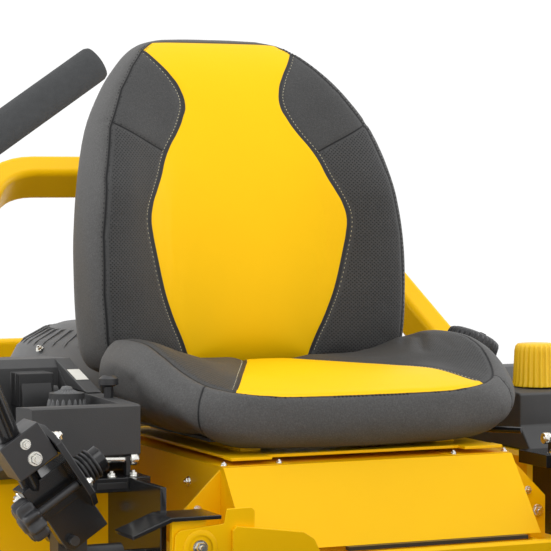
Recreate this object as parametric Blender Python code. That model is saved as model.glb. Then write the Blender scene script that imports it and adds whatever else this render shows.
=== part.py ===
"""Zero turn mower: a ride-on machine with lap bars, a three-blade deck, two casters and a rear engine.

The machine frame has x towards the operator's left, y towards the rear and z up, with the ground at z = 0.
Everything is parented to one empty, which puts the bounding box's bottom centre at the world origin.
Lengths are in metres.
"""

import math

import bmesh
import bpy
from mathutils import Matrix, Vector

for old in list(bpy.data.objects):
    bpy.data.objects.remove(old)

# ---------------------------------------------------------------- driving dimensions
MACHINE_X = 0.1044          # centre line of the machine, to the left of the box's middle
MACHINE_Y = 0.0040          # machine frame's y = 0, behind the box's middle
GAP = 0.0003                # between pieces that touch
RUNNING = 0.0003            # radial clearance of a shaft that turns in a hole

RAIL_X, RAIL_Z = 0.262, 0.340
TUBE_W, TUBE_H = 0.038, 0.076          # the frame's rectangular tube
RAIL_FRONT, RAIL_REAR = -0.8467, 0.900
RAIL_TOP = RAIL_Z + TUBE_H / 2

REAR_AXLE_Y, REAR_R = 0.420, 0.254
REAR_WHEEL_X, REAR_WIDTH = 0.447, 0.216
REAR_RIM_R = 0.108
CASTER_X, CASTER_Y = 0.430, -0.800
CASTER_TRAIL, CASTER_R, CASTER_WIDTH = 0.055, 0.140, 0.145
CASTER_RIM_R = 0.066
CASTER_AXLE_R = 0.010

BOX_TOP, BOX_FRONT, BOX_REAR = 0.500, -0.235, 0.200
BOX_HALF, BOX_FOOT_Y, BOX_FOOT_Z = 0.205, -0.312, 0.405
SHEET = 0.004

LEVER_PIN_X, LEVER_PIN_Z = 0.420, 0.430    # the fore-and-aft pin that the lap bar swings out on
LEVER_DRIVE_Y, LEVER_DRIVE_Z = -0.245, 0.400   # the cross pin that the lap bar drives on
SWING_OUT = math.radians(34)
LAP_TUBE_R, GRIP_R = 0.0135, 0.021

DECK_BLADES = [(-0.425, -0.200), (0.0, -0.335), (0.425, -0.200)]
DECK_R, DECK_LOW, DECK_TOP, DECK_SHEET = 0.235, 0.062, 0.192, 0.005
BLADE_R = 0.217
SPINDLE_R, PULLEY_R, PULLEY_Z = 0.0125, 0.058, 0.236
DRIVE_Z, DRIVE_R, CLUTCH_R = 0.264, 0.045, 0.050
CHUTE_X, CHUTE_Z, CHUTE_Y = -0.672, 0.186, (-0.360, -0.040)
GAUGE_Y, GAUGE_Z = -0.490, 0.108

ENGINE_Y = 0.600
GUARD_Z = 0.573                         # the bumper bar behind the engine
APRON_TOP = 0.482
HOOP_Y, HOOP_Z, HOOP_HALF = 0.560, 0.862, 0.262
HOOP_LEAN, HOOP_SPLAY, HOOP_LEG = math.radians(46), 0.31, 0.600
SEAT_HINGE_Y, SEAT_HINGE_Z = -0.222, 0.5125
BACK_LOW, BACK_Y, BACK_CURVE, BACK_DEEP = 0.600, 0.160, 1.18, 0.090
BACK_LEVELS = [(0.584, 0.194, 0.70), (0.596, 0.212, 0.94), (0.630, 0.220, 1), (0.700, 0.225, 1),
               (0.780, 0.224, 1), (0.860, 0.215, 1), (0.930, 0.197, 1), (0.990, 0.164, 1),
               (1.030, 0.133, 0.95), (1.052, 0.107, 0.80),
               (1.064, 0.072, 0.45)]       # height, half width, fullness from front to rear
DIAL = (0.377, -0.005, 0.5645)
CAP_SEAT = (0.345, 0.140, 0.605)
CAP_AXIS = Vector((math.sin(math.radians(24)), 0, math.cos(math.radians(24))))

# ---------------------------------------------------------------- materials
PAINTS = {
    "yellow_paint": ((0.90, 0.50, 0.01), 0.32, 0.0),
    "black_paint": ((0.015, 0.015, 0.016), 0.28, 0.0),
    "black_plastic": ((0.035, 0.036, 0.038), 0.55, 0.0),
    "grey_plastic": ((0.13, 0.13, 0.13), 0.60, 0.0),
    "yellow_plastic": ((0.93, 0.60, 0.01), 0.40, 0.0),
    "seat_vinyl": ((0.06, 0.06, 0.062), 0.60, 0.0),
    "rubber": ((0.02, 0.02, 0.02), 0.80, 0.0),
    "cast_aluminium": ((0.45, 0.45, 0.46), 0.45, 1.0),
    "zinc_steel": ((0.62, 0.62, 0.60), 0.30, 1.0),
}


def paint(name):
    material = bpy.data.materials.get(name)
    if material is None:
        colour, roughness, metallic = PAINTS[name]
        material = bpy.data.materials.new(name)
        material.use_nodes = True
        surface = material.node_tree.nodes["Principled BSDF"]
        surface.inputs["Base Color"].default_value = (*colour, 1)
        surface.inputs["Roughness"].default_value = roughness
        surface.inputs["Metallic"].default_value = metallic
    return material


MOWER = bpy.data.objects.new("mower", None)
MOWER.location = (MACHINE_X, MACHINE_Y, 0)
bpy.context.scene.collection.objects.link(MOWER)


# ---------------------------------------------------------------- modelling helpers
def place(name, bm, material, origin=(0, 0, 0), helper=False):
    """Makes an object from a mesh in the machine frame, with its origin where it turns or slides."""
    bmesh.ops.remove_doubles(bm, verts=bm.verts, dist=1e-6)
    bmesh.ops.recalc_face_normals(bm, faces=bm.faces)
    bmesh.ops.translate(bm, verts=bm.verts, vec=-Vector(origin))
    mesh = bpy.data.meshes.new(name)
    bm.to_mesh(mesh)
    bm.free()
    obj = bpy.data.objects.new(name, mesh)
    bpy.context.scene.collection.objects.link(obj)
    obj.parent = MOWER
    obj.location = origin
    if helper:
        obj.hide_render = True
        obj.display_type = "WIRE"
    else:
        mesh.materials.append(paint(material))
        mesh.shade_smooth()
        mesh.set_sharp_from_angle(angle=math.radians(35))
    return obj


def combine(target, bm, operation):
    """Joins a shape to the target, or cuts it out of it."""
    tool = place(f"{target.name}_tool", bm, None, helper=True)
    modifier = target.modifiers.new(operation.lower(), "BOOLEAN")
    modifier.object = tool
    modifier.operation = operation
    modifier.solver = "EXACT"
    return target


def join(target, *shapes):
    for bm in shapes:
        combine(target, bm, "UNION")
    return target


def cut(target, *shapes):
    for bm in shapes:
        combine(target, bm, "DIFFERENCE")
    return target


def block(low, high, bevel=0.0, segments=2):
    """A box between two corners, with rounded edges if a bevel is given."""
    low, high = Vector(low), Vector(high)
    low, high = Vector(map(min, low, high)), Vector(map(max, low, high))
    bm = bmesh.new()
    bmesh.ops.create_cube(bm, size=1)
    bmesh.ops.scale(bm, verts=bm.verts, vec=high - low)
    bmesh.ops.translate(bm, verts=bm.verts, vec=(low + high) / 2)
    if bevel:
        bmesh.ops.bevel(bm, geom=bm.edges, offset=bevel, segments=segments, profile=0.5, affect="EDGES")
    return bm


AXES = {"x": (1, 2, 0), "y": (0, 2, 1), "z": (0, 1, 2)}


def prism(outline, axis, low, high, bevel=0.0, segments=2):
    """A flat outline in the two directions across the axis, extruded from low to high along it."""
    first, second, along = AXES[axis]
    bm = bmesh.new()
    ring = []
    for a, b in outline:
        point = [0.0, 0.0, 0.0]
        point[first], point[second], point[along] = a, b, low
        ring.append(bm.verts.new(point))
    face = bm.faces.new(ring)
    shift = [0.0, 0.0, 0.0]
    shift[along] = high - low
    raised = bmesh.ops.extrude_face_region(bm, geom=[face])["geom"]
    bmesh.ops.translate(bm, verts=[v for v in raised if isinstance(v, bmesh.types.BMVert)], vec=shift)
    bmesh.ops.recalc_face_normals(bm, faces=bm.faces)
    if bevel:
        sharp = [e for e in bm.edges if e.calc_face_angle(0) > math.radians(40)]
        bmesh.ops.bevel(bm, geom=sharp, offset=bevel, segments=segments, profile=0.5, affect="EDGES")
    return bm


def loft(rings, closed=False):
    """A skin over rings of equal count, capped at both ends unless it closes on itself."""
    bm = bmesh.new()
    loops = [[bm.verts.new(p) for p in ring] for ring in rings]
    pairs = list(zip(loops, loops[1:]))
    if closed:
        pairs.append((loops[-1], loops[0]))
    count = len(rings[0])
    for lower, upper in pairs:
        for i in range(count):
            j = (i + 1) % count
            bm.faces.new((lower[i], lower[j], upper[j], upper[i]))
    if not closed:
        bm.faces.new(loops[0])
        bm.faces.new(loops[-1])
    bmesh.ops.recalc_face_normals(bm, faces=bm.faces)
    return bm


def turned(profile, axis, centre, steps):
    """Spins a closed outline of (radius, height) points round an axis."""
    first, second, along = AXES[axis]
    bm = bmesh.new()
    loops = []
    for i in range(steps):
        turn = 2 * math.pi * i / steps
        loop = []
        for radius, height in profile:
            point = Vector((0, 0, 0))
            point[first], point[second] = radius * math.cos(turn), radius * math.sin(turn)
            point[along] = height
            loop.append(bm.verts.new(point + Vector(centre)))
        loops.append(loop)
    for a, b in zip(loops, loops[1:] + loops[:1]):
        for i in range(len(profile)):
            j = (i + 1) % len(profile)
            if profile[i][0] > 1e-7 or profile[j][0] > 1e-7:
                bm.faces.new((a[i], a[j], b[j], b[i]))
    bmesh.ops.remove_doubles(bm, verts=bm.verts, dist=1e-6)
    bmesh.ops.recalc_face_normals(bm, faces=bm.faces)
    return bm


def pillow(outline, middle, rings):
    """An outline in x and z lofted along y; a ring is (y, width, height above the middle, depth below)."""
    return loft([[Vector((x * wide, y, middle + (z - middle) * (up if z > middle else down)))
                  for x, z in outline]
                 for y, wide, up, down in rings])


def rod(start, end, radius, steps=12, end_radius=None):
    """A round bar from start to end, tapered if an end radius is given."""
    start, end = Vector(start), Vector(end)
    bm = bmesh.new()
    bmesh.ops.create_cone(
        bm, cap_ends=True, segments=steps, radius1=radius, radius2=end_radius or radius,
        depth=(end - start).length
    )
    turn = (end - start).to_track_quat("Z", "Y").to_matrix().to_4x4()
    bmesh.ops.transform(bm, verts=bm.verts, matrix=Matrix.Translation((start + end) / 2) @ turn)
    return bm


def bore_for(radius, steps):
    """The corner radius of a many-sided hole whose flats clear a round shaft."""
    return (radius + RUNNING) / math.cos(math.pi / steps)


def bent(points, radius, steps=6):
    """Rounds the inner corners of a chain of points with arcs of one radius."""
    points = [Vector(p) for p in points]
    path = [points[0]]
    for before, corner, after in zip(points, points[1:], points[2:]):
        u, v = (before - corner).normalized(), (after - corner).normalized()
        half = u.angle(v) / 2
        setback = radius / math.tan(half)
        centre = corner + (u + v).normalized() * (radius / math.sin(half))
        a, b = corner + u * setback - centre, corner + v * setback - centre
        for i in range(steps + 1):
            path.append(centre + a.slerp(b, i / steps) * radius)
    path.append(points[-1])
    return path


def swept(path, section, up):
    """Carries a flat section along a path; the section's second direction stays near up."""
    rings = []
    for i, point in enumerate(path):
        ahead = (path[min(i + 1, len(path) - 1)] - path[max(i - 1, 0)]).normalized()
        side = ahead.cross(Vector(up)).normalized()
        top = side.cross(ahead).normalized()
        if 0 < i < len(path) - 1:
            before, after = (point - path[i - 1]).normalized(), (path[i + 1] - point).normalized()
            stretch = 1 / max(0.5, math.cos(before.angle(after, 0) / 2))
            bend = (after - before)
            bend = bend.normalized() if bend.length > 1e-6 else side
        else:
            stretch, bend = 1.0, side
        ring = []
        for a, b in section:
            offset = side * a + top * b
            offset += bend * (offset.dot(bend) * (stretch - 1))
            ring.append(point + offset)
        rings.append(ring)
    return loft(rings)


def tube_section(width, height, corner=0.006):
    """A rectangle with its corners taken off."""
    w, h, c = width / 2, height / 2, corner
    return [(w, h - c), (w - c, h), (c - w, h), (-w, h - c), (-w, c - h), (c - w, -h), (w - c, -h),
            (w, c - h)]


def round_section(radius, steps=12):
    return [(radius * math.cos(2 * math.pi * i / steps), radius * math.sin(2 * math.pi * i / steps))
            for i in range(steps)]


def mirrored(points, side):
    """Points given for the operator's left, put on the side asked for."""
    return [Vector((side * x, y, z)) for x, y, z in points]


def arc(cx, cy, radius, start, end, steps):
    """Points on an arc, with angles in degrees."""
    return [
        (cx + radius * math.cos(math.radians(start + (end - start) * i / steps)),
         cy + radius * math.sin(math.radians(start + (end - start) * i / steps)))
        for i in range(steps + 1)
    ]


SIDES = (("right", -1), ("left", 1))


# ---------------------------------------------------------------- frame
def frame_rail(label, side):
    """One long tube with the post for the lap bar and the apron in front of the rear tyre."""
    rail = place(f"frame_rail_{label}", block(
        (side * (RAIL_X - TUBE_W / 2), RAIL_FRONT, RAIL_Z - TUBE_H / 2),
        (side * (RAIL_X + TUBE_W / 2), RAIL_REAR, RAIL_TOP), 0.005, 1), "yellow_paint")
    apron = prism([(-0.100, 0.350), (-0.100, APRON_TOP), (0.205, APRON_TOP), (0.165, 0.430), (0.150, 0.350)],
                  "x", *sorted((side * 0.300, side * 0.560)), bevel=0.006, segments=1)
    arm = block((side * RAIL_X, -0.080, RAIL_TOP - 0.030), (side * 0.320, 0.140, RAIL_TOP - 0.004))
    post = block((side * (RAIL_X + 0.012), -0.345, RAIL_Z), (side * 0.317, -0.337, 0.4535))
    gusset = block((side * (RAIL_X + 0.012), -0.345, RAIL_Z), (side * (RAIL_X + 0.018), -0.260, 0.4535))
    join(rail, arm, apron, post, gusset)


def front_axle_beam():
    half = [(0.0, -0.872, 0.352), (0.300, -0.872, 0.352), (CASTER_X, CASTER_Y, 0.352)]
    points = mirrored(half[:0:-1], -1) + mirrored(half[1:], 1)
    beam = place("front_axle_beam", swept(bent(points, 0.08), tube_section(0.05, 0.072), (0, 0, 1)),
                 "yellow_paint")
    for _, side in SIDES:
        join(beam, rod((side * CASTER_X, CASTER_Y, 0.3050), (side * CASTER_X, CASTER_Y, 0.4130), 0.034, 20))
    for _, side in SIDES:
        cut(beam, rod((side * CASTER_X, CASTER_Y, 0.29), (side * CASTER_X, CASTER_Y, 0.43),
                      bore_for(0.0155, 16), 16))


def rear_guard():
    """The bumper bar behind the engine; its legs stand on the ends of the rails."""
    low = RAIL_TOP + GAP
    points = [(-RAIL_X, 0.878, low), (-RAIL_X, 0.878, GUARD_Z), (RAIL_X, 0.878, GUARD_Z),
              (RAIL_X, 0.878, low)]
    place("rear_guard_rail", swept(bent(points, 0.060), tube_section(TUBE_W, 0.032), (0, 1, 0)),
          "yellow_paint")


def hoop_skin(width, depth):
    """The hoop's tube: it leans back over the engine and its legs spread as they come down."""
    down = Vector((0, -math.sin(HOOP_LEAN), -math.cos(HOOP_LEAN)))
    right, left = Vector((-HOOP_HALF, HOOP_Y, HOOP_Z)), Vector((HOOP_HALF, HOOP_Y, HOOP_Z))
    leg, out = down * HOOP_LEG, Vector((HOOP_SPLAY * HOOP_LEG, 0, 0))
    path = bent([right + leg - out, right, left, left + leg + out], 0.095, 8)
    return swept(path, tube_section(width, depth), Vector((1, 0, 0)).cross(down))


def rear_hoop():
    hoop = place("rear_hoop", hoop_skin(0.042, 0.060), "yellow_paint")
    cut(hoop, block((-0.6, 0.0, 0.30), (0.6, 0.9, APRON_TOP + GAP)))


def engine_plate():
    place("engine_plate", block((-0.281, 0.330, RAIL_TOP + GAP), (0.281, 0.850, RAIL_TOP + 0.006)),
          "black_paint")


def floor_pan():
    """The foot platform: a shallow pan whose front turns up into a toe board."""
    z = RAIL_TOP + GAP
    top = [(-0.350, z), (-0.735, z), (-0.870, z + 0.075), (-0.905, z + 0.060),
           (-0.908, z + 0.064), (-0.872, z + 0.080), (-0.733, z + 0.005), (-0.350, z + 0.005)]
    pan = place("floor_pan", prism(top, "x", -0.300, 0.300), "black_paint")
    for x in (-0.298, 0.298):
        join(pan, block((x - 0.002, -0.730, z + 0.001), (x + 0.002, -0.360, z + 0.022)))
    for x in (-0.238, -0.162):
        join(pan, block((x - 0.0025, -0.535, z + 0.001), (x + 0.0025, -0.505, z + 0.046)))


def seat_box():
    """The sheet-metal box the seat hinges on, with a front that slopes forward as it goes down."""
    low = RAIL_TOP + GAP
    outer = [(BOX_FRONT, BOX_TOP), (BOX_REAR, BOX_TOP), (BOX_REAR, low), (-0.285, low),
             (-0.285, BOX_FOOT_Z - 0.002), (BOX_FOOT_Y, BOX_FOOT_Z)]
    inner = [(BOX_FRONT + 0.002, BOX_TOP - SHEET), (BOX_REAR - SHEET, BOX_TOP - SHEET),
             (BOX_REAR - SHEET, low - 0.02), (-0.281, low - 0.02), (-0.281, BOX_FOOT_Z + 0.012)]
    box = place("seat_box", prism(outer, "x", -BOX_HALF, BOX_HALF), "yellow_paint")
    cut(box, prism(inner, "x", SHEET - BOX_HALF, BOX_HALF - SHEET))
    for side in (-1, 1):
        flange = [(side * 0.203, BOX_TOP - 0.002), (side * 0.262, 0.440), (side * 0.262, low),
                  (side * 0.203, low)]
        join(box, prism(flange, "y", -0.225, -0.221))
        join(box, block((side * (BOX_HALF - 0.003), -0.224, low), (side * 0.262, 0.190, low + SHEET)))
        join(box, block((side * 0.190, -0.340, low), (side * 0.198, -0.280, 0.398)))
    join(box, block((-0.240, -0.347, low), (0.240, -0.330, 0.4005), 0.003, 1))


# ---------------------------------------------------------------- covers
def fender(label, side, front, inner, top, ridge):
    """A moulded cover: a console beside the seat that runs back into an arch over the rear tyre."""
    low = APRON_TOP + GAP
    outline = [(front, 0.515), (front, top - 0.002), (front + 0.005, top), (0.050, top + 0.004),
               (0.100, ridge), (0.200, ridge - 0.004)]
    outline += arc(REAR_AXLE_Y, REAR_R, 0.300, 108, 12, 10) + arc(REAR_AXLE_Y, REAR_R, 0.292, 12, 128, 11)
    outline += [(0.212, low), (-0.100, low)]
    cover = place(f"fender_{label}", prism(outline, "x", *sorted((side * inner, side * 0.580))),
                  "black_plastic")
    corner = [(side * 0.425, front - 0.01), (side * 0.600, front - 0.01), (side * 0.600, 0.060)]
    cut(cover, prism(corner, "z", 0.40, 0.70), hoop_skin(0.050, 0.068))
    return cover


def fenders():
    right = fender("right", -1, -0.170, 0.290, 0.577, 0.617)
    cut(right, block((-0.470, -0.150, 0.530), (-0.312, 0.085, 0.70)))
    vent, latch = rod((-0.346, -0.050, 0.525), (-0.346, -0.050, 0.584), 0.023, 16), block(
        (-0.383, 0.018, 0.525), (-0.345, 0.056, 0.585), 0.006, 1)
    join(right, vent, latch)
    left = fender("left", 1, -0.070, 0.312, 0.561, 0.583)
    cap_seat = Vector(CAP_SEAT) - CAP_AXIS * GAP
    join(left, rod(cap_seat - CAP_AXIS * 0.045, cap_seat, 0.030, 16))


# ---------------------------------------------------------------- engine and drive
def engine():
    base = RAIL_TOP + 0.006 + GAP
    case = place("engine_crankcase", rod((0, ENGINE_Y, base), (0, ENGINE_Y, 0.520), 0.120, 20),
                 "cast_aluminium")
    for side in (-1, 1):
        turn = Matrix.Translation((0, ENGINE_Y, 0.462)) @ Matrix.Rotation(-side * math.radians(48), 4, "Z")
        barrel = block((-0.055, 0.06, -0.055), (0.055, 0.235, 0.055))
        cover = block((-0.062, 0.230, -0.050), (0.062, 0.262, 0.050))
        for piece in (barrel, cover):
            bmesh.ops.transform(piece, verts=piece.verts, matrix=turn)
            join(case, piece)
    low = 0.520 + GAP
    dome = [(0.0, low), (0.214, low), (0.216, 0.560), (0.200, 0.598), (0.155, 0.625), (0.095, 0.636),
            (0.0, 0.636)]
    place("blower_housing", turned(dome, "z", (0, ENGINE_Y - 0.02, 0), 24), "grey_plastic")
    top = place("air_cleaner", block((-0.065, 0.540, 0.636 + GAP), (0.135, 0.690, 0.700), 0.02, 2),
                "black_plastic")
    join(top, rod((0.035, 0.615, 0.695), (0.035, 0.615, 0.718), 0.022, 12))
    muffler = place("muffler", rod((-0.125, 0.842, 0.455), (0.125, 0.842, 0.455), 0.036, 16), "black_paint")
    join(muffler, block((-0.025, 0.838, base), (0.025, 0.845, 0.440)))
    join(muffler, rod((0.090, 0.850, 0.440), (0.105, 0.888, 0.410), 0.013, 10))
    filter_can = place("oil_filter", rod((-0.135, 0.4625, 0.430), (-0.195, 0.4275, 0.430), 0.036, 16),
                       "black_paint")
    join(filter_can, rod((-0.1115, 0.4762, 0.430), (-0.150, 0.4537, 0.430), 0.018, 12))
    clutch = place("engine_clutch", rod((0, ENGINE_Y, 0.215), (0, ENGINE_Y, 0.345), CLUTCH_R, 20),
                   "zinc_steel", (0, ENGINE_Y, 0.30))
    join(clutch, rod((0, ENGINE_Y, 0.330), (0, ENGINE_Y, RAIL_TOP - GAP), 0.014, 12))


def transaxle(label, side):
    """A hydrostatic drive: a cast case, a pulley shaft on top and the axle the wheel bolts to."""
    case = place(f"transaxle_{label}",
                 block((side * 0.105, 0.335, 0.175), (side * 0.235, 0.520, 0.335), 0.015, 1),
                 "cast_aluminium")
    join(case, rod((side * 0.225, REAR_AXLE_Y, REAR_R), (side * 0.330, REAR_AXLE_Y, REAR_R), 0.032, 16))
    join(case, rod((side * 0.320, REAR_AXLE_Y, REAR_R), (side * 0.402, REAR_AXLE_Y, REAR_R), 0.015, 12))
    join(case, block((side * 0.20, 0.385, 0.30), (side * 0.281, 0.455, RAIL_Z - TUBE_H / 2 - GAP)))


# ---------------------------------------------------------------- wheels
def tyre_profile(radius, half, bead):
    """Radius and half-width points round a tyre's section."""
    side = [(bead, 0.72), (bead + 0.016, 0.92), (radius * 0.80, 1.0), (radius - 0.012, 0.86), (radius, 0.45)]
    return [(r, -half * w) for r, w in side] + [(r, half * w) for r, w in reversed(side)]


def rear_wheel(label, side):
    centre = (side * REAR_WHEEL_X, REAR_AXLE_Y, REAR_R)
    half = REAR_WIDTH / 2
    place(f"rear_tyre_{label}", turned(tyre_profile(REAR_R, half, REAR_RIM_R), "x", centre, 32), "rubber",
          centre)
    r = REAR_RIM_R - GAP
    s = side
    rim = [(0.0155, s * -0.044), (0.048, s * -0.044), (0.092, s * -0.016), (r, s * -0.076), (r, s * 0.076),
           (0.094, s * 0.070), (0.090, s * 0.002), (0.044, s * -0.026), (0.0155, s * -0.026)]
    place(f"rear_rim_{label}", turned(rim, "x", centre, 32), "black_paint", centre)


def caster(label, side):
    pivot = Vector((side * CASTER_X, CASTER_Y, 0))
    axle_y = CASTER_Y + CASTER_TRAIL
    fork = place(f"caster_fork_{label}", block(
        (pivot.x - 0.092, CASTER_Y - 0.032, 0.2890), (pivot.x + 0.092, CASTER_Y + 0.040, 0.2980)),
        "yellow_paint", (pivot.x, CASTER_Y, 0.30))
    join(fork, rod((pivot.x, CASTER_Y, 0.295), (pivot.x, CASTER_Y, 0.425), 0.0155, 16))
    join(fork, rod((pivot.x, CASTER_Y, 0.4135), (pivot.x, CASTER_Y, 0.428), 0.024, 16))
    for face in (-1, 1):
        x = pivot.x + face * 0.088
        leg = [(CASTER_Y - 0.030, 0.296), (CASTER_Y + 0.038, 0.296), (axle_y + 0.022, CASTER_R),
               (axle_y + 0.012, CASTER_R - 0.018), (axle_y - 0.012, CASTER_R - 0.018),
               (axle_y - 0.022, CASTER_R)]
        join(fork, prism(leg, "x", x - 0.004, x + 0.004))
    join(fork, rod((pivot.x - 0.100, axle_y, CASTER_R), (pivot.x + 0.100, axle_y, CASTER_R),
                   CASTER_AXLE_R, 12))
    centre = (pivot.x, axle_y, CASTER_R)
    half = CASTER_WIDTH / 2
    place(f"caster_tyre_{label}", turned(tyre_profile(CASTER_R, half, CASTER_RIM_R), "x", centre, 28),
          "rubber", centre)
    r, bore = CASTER_RIM_R - GAP, CASTER_AXLE_R + RUNNING
    hub = [(bore, 0.076), (0.026, 0.076), (0.026, 0.010), (0.057, 0.010), (r, 0.052)]
    rim = [(a, -b) for a, b in hub] + [(a, b) for a, b in reversed(hub)]
    place(f"caster_rim_{label}", turned(rim, "x", centre, 28), "black_paint", centre)


# ---------------------------------------------------------------- mowing deck
def deck_outline(radius, steps=6):
    """The outline of a band stretched round the three blade circles."""
    outline = []
    (rx, ry), (cx, cy), (lx, ly) = DECK_BLADES
    lean = math.degrees(math.atan2(ry - cy, cx - rx))
    outline += arc(rx, ry, radius, 90, 270 - lean, 2 * steps)
    outline += arc(cx, cy, radius, 270 - lean, 270 + lean, 3)
    outline += arc(lx, ly, radius, 270 + lean, 450, 2 * steps)
    return outline


def deck():
    def skin(levels):
        return loft([[Vector((x, y, z)) for x, y in deck_outline(DECK_R - inset)] for z, inset in levels])
    shell = place("deck_shell",
                  skin([(DECK_LOW, 0.0), (0.150, 0.0), (0.172, 0.006), (0.186, 0.020), (DECK_TOP, 0.040)]),
                  "yellow_paint")
    t = DECK_SHEET
    cut(shell, skin([(DECK_LOW - 0.02, t), (0.148, t), (0.168, 0.011), (0.181, 0.024),
                     (DECK_TOP - t, 0.044)]))
    cut(shell, block((-0.75, -0.330, 0.03), (-0.600, -0.070, 0.152)))
    for x, y in DECK_BLADES:
        join(shell, rod((x, y, DECK_TOP - 0.030), (x, y, DECK_TOP + 0.020), 0.045, 16, 0.035))
    for x, y in DECK_BLADES:
        cut(shell, rod((x, y, 0.10), (x, y, 0.30), bore_for(SPINDLE_R, 12), 12))
    for _, side in SIDES:
        bracket = block((side * 0.470, GAUGE_Y - 0.016, 0.084), (side * 0.478, -0.4262, 0.132))
        join(shell, bracket,
             rod((side * 0.474, GAUGE_Y, GAUGE_Z), (side * 0.520, GAUGE_Y, GAUGE_Z), 0.0068, 12))
        join(shell, rod((side * 0.5155, GAUGE_Y, GAUGE_Z), (side * 0.5205, GAUGE_Y, GAUGE_Z), 0.014, 12))
    low_y, high_y = CHUTE_Y
    join(shell, block((CHUTE_X + 0.0055, low_y - 0.006, 0.170), (-0.560, high_y + 0.006, 0.1775)))
    for y, out in ((low_y, -0.006), (high_y, 0.006)):
        join(shell, block((CHUTE_X - 0.009, y + out / 12, 0.171), (-0.560, y + out, 0.196)))
    for label, side in SIDES:
        centre = (side * 0.497, GAUGE_Y, GAUGE_Z)
        wheel = [(0.0075, -0.018), (0.040, -0.018), (0.048, 0.0), (0.040, 0.018), (0.0075, 0.018)]
        place(f"gauge_wheel_{label}", turned(wheel, "x", centre, 18), "black_plastic", centre)
    for label, side, (x, y) in (("right", -1, DECK_BLADES[0]), ("left", 1, DECK_BLADES[2])):
        dome = [(0.090, DECK_TOP + GAP), (0.088, 0.248), (0.072, 0.260), (0.0, 0.262), (0.0, 0.258),
                (0.070, 0.256), (0.084, 0.246), (0.086, DECK_TOP + GAP)]
        cover = place(f"belt_cover_{label}", turned(dome, "z", (x, y, 0), 20), "black_plastic")
        cut(cover, block((x - side * 0.020, y - 0.110, 0.15), (x - side * 0.12, y + 0.110, 0.2505)))


def spindles():
    """Each blade is bolted to a shaft that runs up through the deck to its pulley."""
    for label, (x, y) in zip(("right", "centre", "left"), DECK_BLADES):
        middle = label == "centre"
        top = 0.286 if middle else 0.252
        shaft = place(f"blade_{label}", rod((x, y, 0.070), (x, y, top), SPINDLE_R, 12), "zinc_steel",
                      (x, y, 0.10))
        low, high = PULLEY_Z - 0.014, PULLEY_Z + 0.014
        groove = [(0.0, low), (0.066, low), (PULLEY_R, PULLEY_Z - 0.0085), (PULLEY_R, PULLEY_Z + 0.0085),
                  (0.066, high)]
        if middle:
            groove += [(DRIVE_R, high + 0.003), (DRIVE_R, DRIVE_Z + 0.0095), (0.052, DRIVE_Z + 0.014),
                       (0.0, DRIVE_Z + 0.014)]
        else:
            groove += [(0.0, high)]
        bar = [(-BLADE_R, -0.028), (BLADE_R - 0.03, -0.028), (BLADE_R, -0.020), (BLADE_R, 0.028),
               (0.03 - BLADE_R, 0.028), (-BLADE_R, 0.020)]
        blade = prism([(x + a, y + b) for a, b in bar], "z", 0.079, 0.085)
        join(shaft, blade, rod((x, y, 0.085), (x, y, 0.150), 0.024, 12), turned(groove, "z", (x, y, 0), 16))


def belt(name, outline, z):
    """A V-belt round an outline that is given as a function of how far it stands off the pulleys."""
    rings = [[Vector((a, b, z + h)) for a, b in outline(off)]
             for off, h in ((0.0018, -0.0055), (0.010, -0.0075), (0.010, 0.0075), (0.0018, 0.0055))]
    place(name, loft(rings, closed=True), "rubber")


def belts():
    belt("deck_belt", lambda off: deck_outline(PULLEY_R + off, 4), PULLEY_Z)
    (_, front) = DECK_BLADES[1]
    belt("drive_belt",
         lambda off: arc(0, front, DRIVE_R + off, 180, 360, 8) + arc(0, ENGINE_Y, CLUTCH_R + off, 0, 180, 8),
         DRIVE_Z)


def discharge_chute():
    low, high = CHUTE_Y
    outer = [(CHUTE_X, CHUTE_Z + 0.004), (-0.740, 0.184), (-0.800, 0.166), (-0.845, 0.132), (-0.868, 0.092)]
    inner = [(-0.863, 0.090), (-0.841, 0.129), (-0.798, 0.161), (-0.739, 0.179), (CHUTE_X, CHUTE_Z - 0.001)]
    chute = place("discharge_chute", prism(outer + inner, "y", low, high), "black_plastic",
                  (CHUTE_X, (low + high) / 2, CHUTE_Z))
    join(chute, rod((CHUTE_X - 0.001, low, CHUTE_Z), (CHUTE_X - 0.001, high, CHUTE_Z), 0.006, 10))
    cheek = [(-0.690, 0.182), (-0.740, 0.180), (-0.799, 0.163), (-0.842, 0.130), (-0.864, 0.091),
             (-0.780, 0.085), (-0.700, 0.120)]
    join(chute, prism(cheek, "y", low, low + SHEET))


# ---------------------------------------------------------------- controls
def swung(points, side):
    """Points of the lap bar, given as it stands in driving position, turned out to where it is stored."""
    pin = Vector((side * LEVER_PIN_X, 0, LEVER_PIN_Z))
    turn = Matrix.Rotation(side * SWING_OUT, 3, "Y")
    return [turn @ (Vector(p) - pin) + pin for p in points]


def swing(bm, side):
    pin = Matrix.Translation((side * LEVER_PIN_X, 0, LEVER_PIN_Z))
    bmesh.ops.transform(bm, verts=bm.verts,
                        matrix=pin @ Matrix.Rotation(side * SWING_OUT, 4, "Y") @ pin.inverted())
    return bm


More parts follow.
